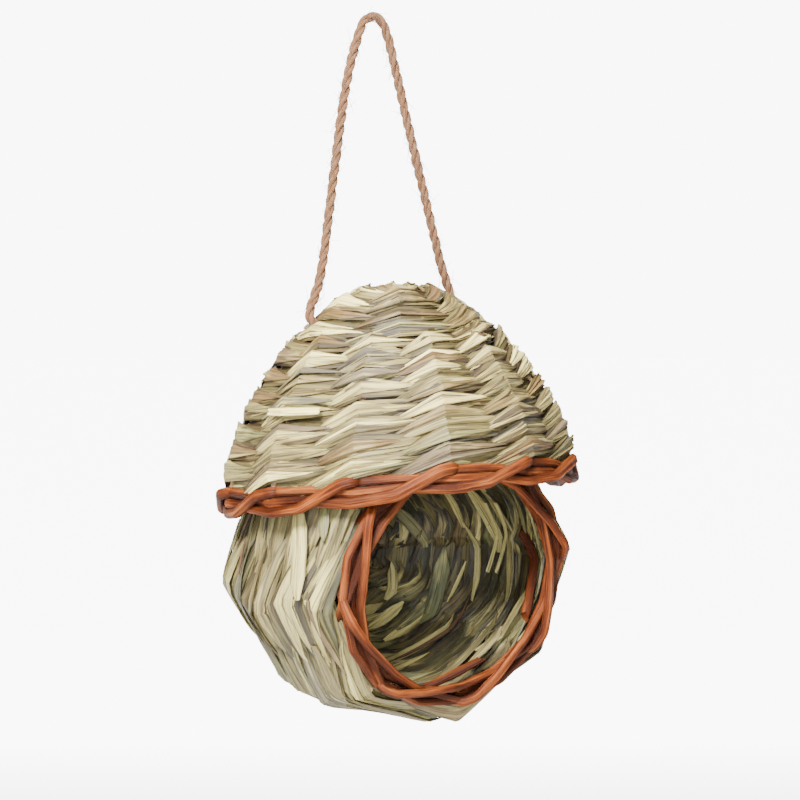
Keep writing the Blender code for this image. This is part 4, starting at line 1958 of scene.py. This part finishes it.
@dataclass
class House:
    """The whole nest house, built piece by piece."""

    centre: Vector
    roof: RoofWall
    basket: BasketWall
    grass: bpy.types.Material
    dull_grass: bpy.types.Material
    willow: bpy.types.Material
    twine: bpy.types.Material
    stake: bpy.types.Material

    def loop(self) -> None:
        """The twine loop and its knots."""
        TwineLoop(RoofWall(self.centre, self.roof.sizes, 0.0)).build(self.twine)

    def rows(self, weaver: Weaver, part: str, grass: bpy.types.Material, low: float = 0.0,
             rise: float = 0.0) -> None:
        """Weaves a wall's rows, from the foot up.

        Args:
            weaver: Who weaves them.
            part: "roof" or "nest".
            grass: Their finish.
            low: Low end of the colour pick at the foot.
            rise: How much higher it is at the top.
        """
        count = weaver.wall.sizes.rows
        for number in range(count):
            tones = (low + rise * number / count, 0.95)
            sheaf = weaver.row(f"woven_{part}_row_{number + 1:02d}", number, tones)
            dress(sheaf.build(), grass, Slot.GRASS, (f"{part}_row_{number + 1:02d}",))

    def roof_weave(self) -> None:
        """The roof's rows, loose leaves and crown."""
        weaver = Weaver(self.roof, Seed.ROOF_GRASS, Weave(
            0.0024, 1.34, climb=1.25, faced=0.95, pair_under=0.031, fuller=0.0016, single=0.8,
            fold=0.20, tilt=0.38, under=0.25, share=0.74, tucked=0.0030))
        self.rows(weaver, "roof", self.grass, 0.05, 0.25)
        sheaf = Sheaf("loose_roof_leaves")
        for leaf in ROOF_LEAVES:
            weaver.loose(sheaf, leaf)
        dress(sheaf.build(), self.grass, Slot.GRASS)
        self.closing(weaver, "woven_roof_crown", self.roof.sizes.crown_radius, "roof_crown",
                     self.grass)

    def basket_weave(self) -> None:
        """The nest's rows, loose leaves and back."""
        weaver = Weaver(self.basket, Seed.NEST_GRASS, Weave(
            0.0022, 1.60, climb=0.75, steps=10, faced=1.0, lined=1.0, inside=0.95, single=0.9,
            stray=0.50, fold=0.07, full=0.50, tilt=0.52, under=0.26, share=0.60, filled=0.16))
        self.rows(weaver, "nest", self.dull_grass)
        sheaf = Sheaf("loose_nest_leaves")
        for leaf in NEST_LEAVES:
            weaver.loose(sheaf, leaf)
        for scatter in (Scatter(30, 1.0), Scatter(60, -1.0)):
            weaver.scatter(sheaf, scatter, (0.0, 0.95))
        dress(sheaf.build(), self.dull_grass, Slot.GRASS)
        self.closing(weaver, "woven_nest_back", self.basket.sizes.back_radius,
                     "nest_back_disc", self.dull_grass)

    def closing(self, weaver: Weaver, name: str, radius: float, stands_for: str,
                grass: bpy.types.Material) -> None:
        """Closes a pole with small twined rings and a tuck of leaf ends.

        Args:
            weaver: Whose wall is closed.
            name: The piece's name.
            radius: Radius of the open pole.
            stands_for: The plain piece that it replaces.
            grass: Its finish.
        """
        close = Closing()
        weaver.weave = Weave(weaver.weave.reach, 1.0)
        sheaf = Sheaf(name)
        for ring, share in enumerate(close.rings):
            s = weaver.wall.s_at_radius(radius * share)
            for strand in range(2):
                lane = weaver.lane(s, close.ring_width, (ring + strand) % 2, close.ring_stakes,
                                   0.0, (0.1, 0.9))
                weaver.strand(sheaf, lane, 2)
        for number in range(close.ends):
            self.leaf_end(weaver, sheaf, close, number)
        dress(sheaf.build(), grass, Slot.GRASS, (stands_for,))

    def leaf_end(self, weaver: Weaver, sheaf: Sheaf, close: Closing, number: int) -> None:
        """Lays one leaf end straight over a pole.

        With x from -1 to 1 along it, it rises by arch (1 - x^2) over the pole.

        Args:
            weaver: Whose wall is closed.
            sheaf: Where the leaf goes.
            close: How the pole is closed.
            number: How many leaves lie below it.
        """
        wall, rng, leaf = weaver.wall, weaver.rng, weaver.leaf
        turn = rng.uniform(0, math.tau)
        x = np.linspace(-1.0, 1.0, close.stations)
        s = float(wall.s[-1]) - np.abs(x) * rng.uniform(*close.reach)
        aside = rng.uniform(-close.aside, close.aside)
        line = wall.at(np.where(x < 0, turn, turn + math.pi), s,
                       close.height + close.arch * (1 - x ** 2) + close.over * number)
        outward = line[close.stations // 2] - wall.centre
        square = np.cross(line[-1] - line[0], outward)
        line = line + aside * square / max(np.linalg.norm(square), 1e-9)
        up = np.broadcast_to(line[close.stations // 2] - wall.centre, line.shape)
        first, second = side_frames(line, up)
        folds = rng.uniform(-1, 1, (close.stations, len(leaf.edge) - 2)) * close.crumple
        across, height = leaf.section(close.half * np.clip(1.05 - np.abs(x) ** 3, 0.1, 1.0),
                                      folds, 0 * x)
        grid = (line[:, None, :] + across[..., None] * second[:, None, :]
                + height[..., None] * first[:, None, :])
        sheaf.add(grid, across, travelled(line), rng.uniform(0.1, 0.9), 0.15)

    def borders(self) -> None:
        """The willow borders of the roof and of the mouth.

        Every fourth stake's rod belongs to one piece, and the core rods to another.
        """
        roof, nest = self.roof.sizes, self.basket.sizes
        roof_border = Border(roof.border_middle, roof.border_radius - roof.border_inset,
                             roof.stakes, ROOF_COURSE, -1, ((0.55, -0.6), (-0.35, -0.6)),
                             rod_radius=0.0017, loose=0.06)
        mouth_border = Border(nest.mouth_y, nest.mouth_radius - nest.border_size / 2,
                              nest.stakes, MOUTH_COURSE, 1, ((0.9, 0.3), (0.7, -0.5)))
        for name, plaiter in (
                ("roof", WillowPlaiter(self.roof, roof_border, Seed.ROOF_WILLOW)),
                ("mouth", WillowPlaiter(self.basket, mouth_border, Seed.MOUTH_WILLOW))):
            self.border(name, plaiter)
        self.loose_willow(WillowPlaiter(self.basket, mouth_border, Seed.LOOSE_WILLOW))

    def border(self, name: str, plaiter: WillowPlaiter) -> None:
        """Makes one border's pieces: the rods in turn, then the core.

        Args:
            name: Which border.
            plaiter: Who bends its rods.
        """
        border, pieces = plaiter.border, 4
        for number in range(pieces):
            sheaf = Sheaf(f"willow_{name}_rod_{number + 1}")
            for stake in range(number, border.stakes, pieces):
                plaiter.rod(sheaf, plaiter.run(stake), border.rod_radius)
            dress(sheaf.build(Crisp.ROD), self.willow, Slot.WILLOW,
                  (f"{name}_border_rod_{number + 1}",))
        sheaf = Sheaf(f"willow_{name}_core")
        for axial, radial in border.core:
            plaiter.rod(sheaf, plaiter.ring(axial, radial),
                        border.core_size * border.rod_radius)
        dress(sheaf.build(Crisp.ROD), self.willow, Slot.WILLOW)

    def loose_willow(self, plaiter: WillowPlaiter) -> None:
        """Lays the ends of rods that show inside the nest.

        Args:
            plaiter: Who shapes them.
        """
        sheaf = Sheaf("willow_loose_ends")
        share = np.linspace(0.0, 1.0, 40)
        for end in LOOSE_ENDS:
            angle = end.angles[0] + share * (end.angles[1] - end.angles[0])
            along = end.along[0] + share * (end.along[1] - end.along[0])
            line = self.basket.at(np.radians(angle), along * MM, np.full_like(share, end.out * MM))
            plaiter.rod(sheaf, line, end.radius * MM, 0.95)
        dress(sheaf.build(Crisp.ROD), self.willow, Slot.WILLOW)

    def stakes(self) -> None:
        """Gives the kept stakes their finish."""
        for name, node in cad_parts.items():
            if "_stake_" in name:
                node.data.materials.clear()
                node.data.materials.append(self.stake)
                LOG.info("%s keeps its shape", name)


def main() -> None:
    """Builds the studio, the loop, the weave and the borders, in that order."""
    logging.basicConfig(level=logging.INFO, format="%(name)s %(message)s")
    low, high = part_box("roof_crown")
    middle = (low + high) / 2
    sizes = RoofSizes()
    crown_z = (sizes.height - sizes.wall_half) + sizes.crown_seat + sizes.gap
    centre = Vector((middle.x, middle.y, low.z - crown_z))
    studio = Studio(centre + AIM_FROM_RIM)
    studio.camera()
    house = House(centre, RoofWall(centre, sizes), BasketWall(centre, BasketSizes()),
                  GrassFinish().make(), DULL_GRASS.make(), WillowFinish().make(),
                  TwineFinish().make(), StakeFinish().make())
    house.loop()
    house.roof_weave()
    house.basket_weave()
    house.borders()
    house.stakes()
    studio.world()
    for lamp in LAMPS:
        studio.light(lamp)
    studio.floor(float(CAD_BOX[0][2]))


if __name__ == "__main__":
    main()
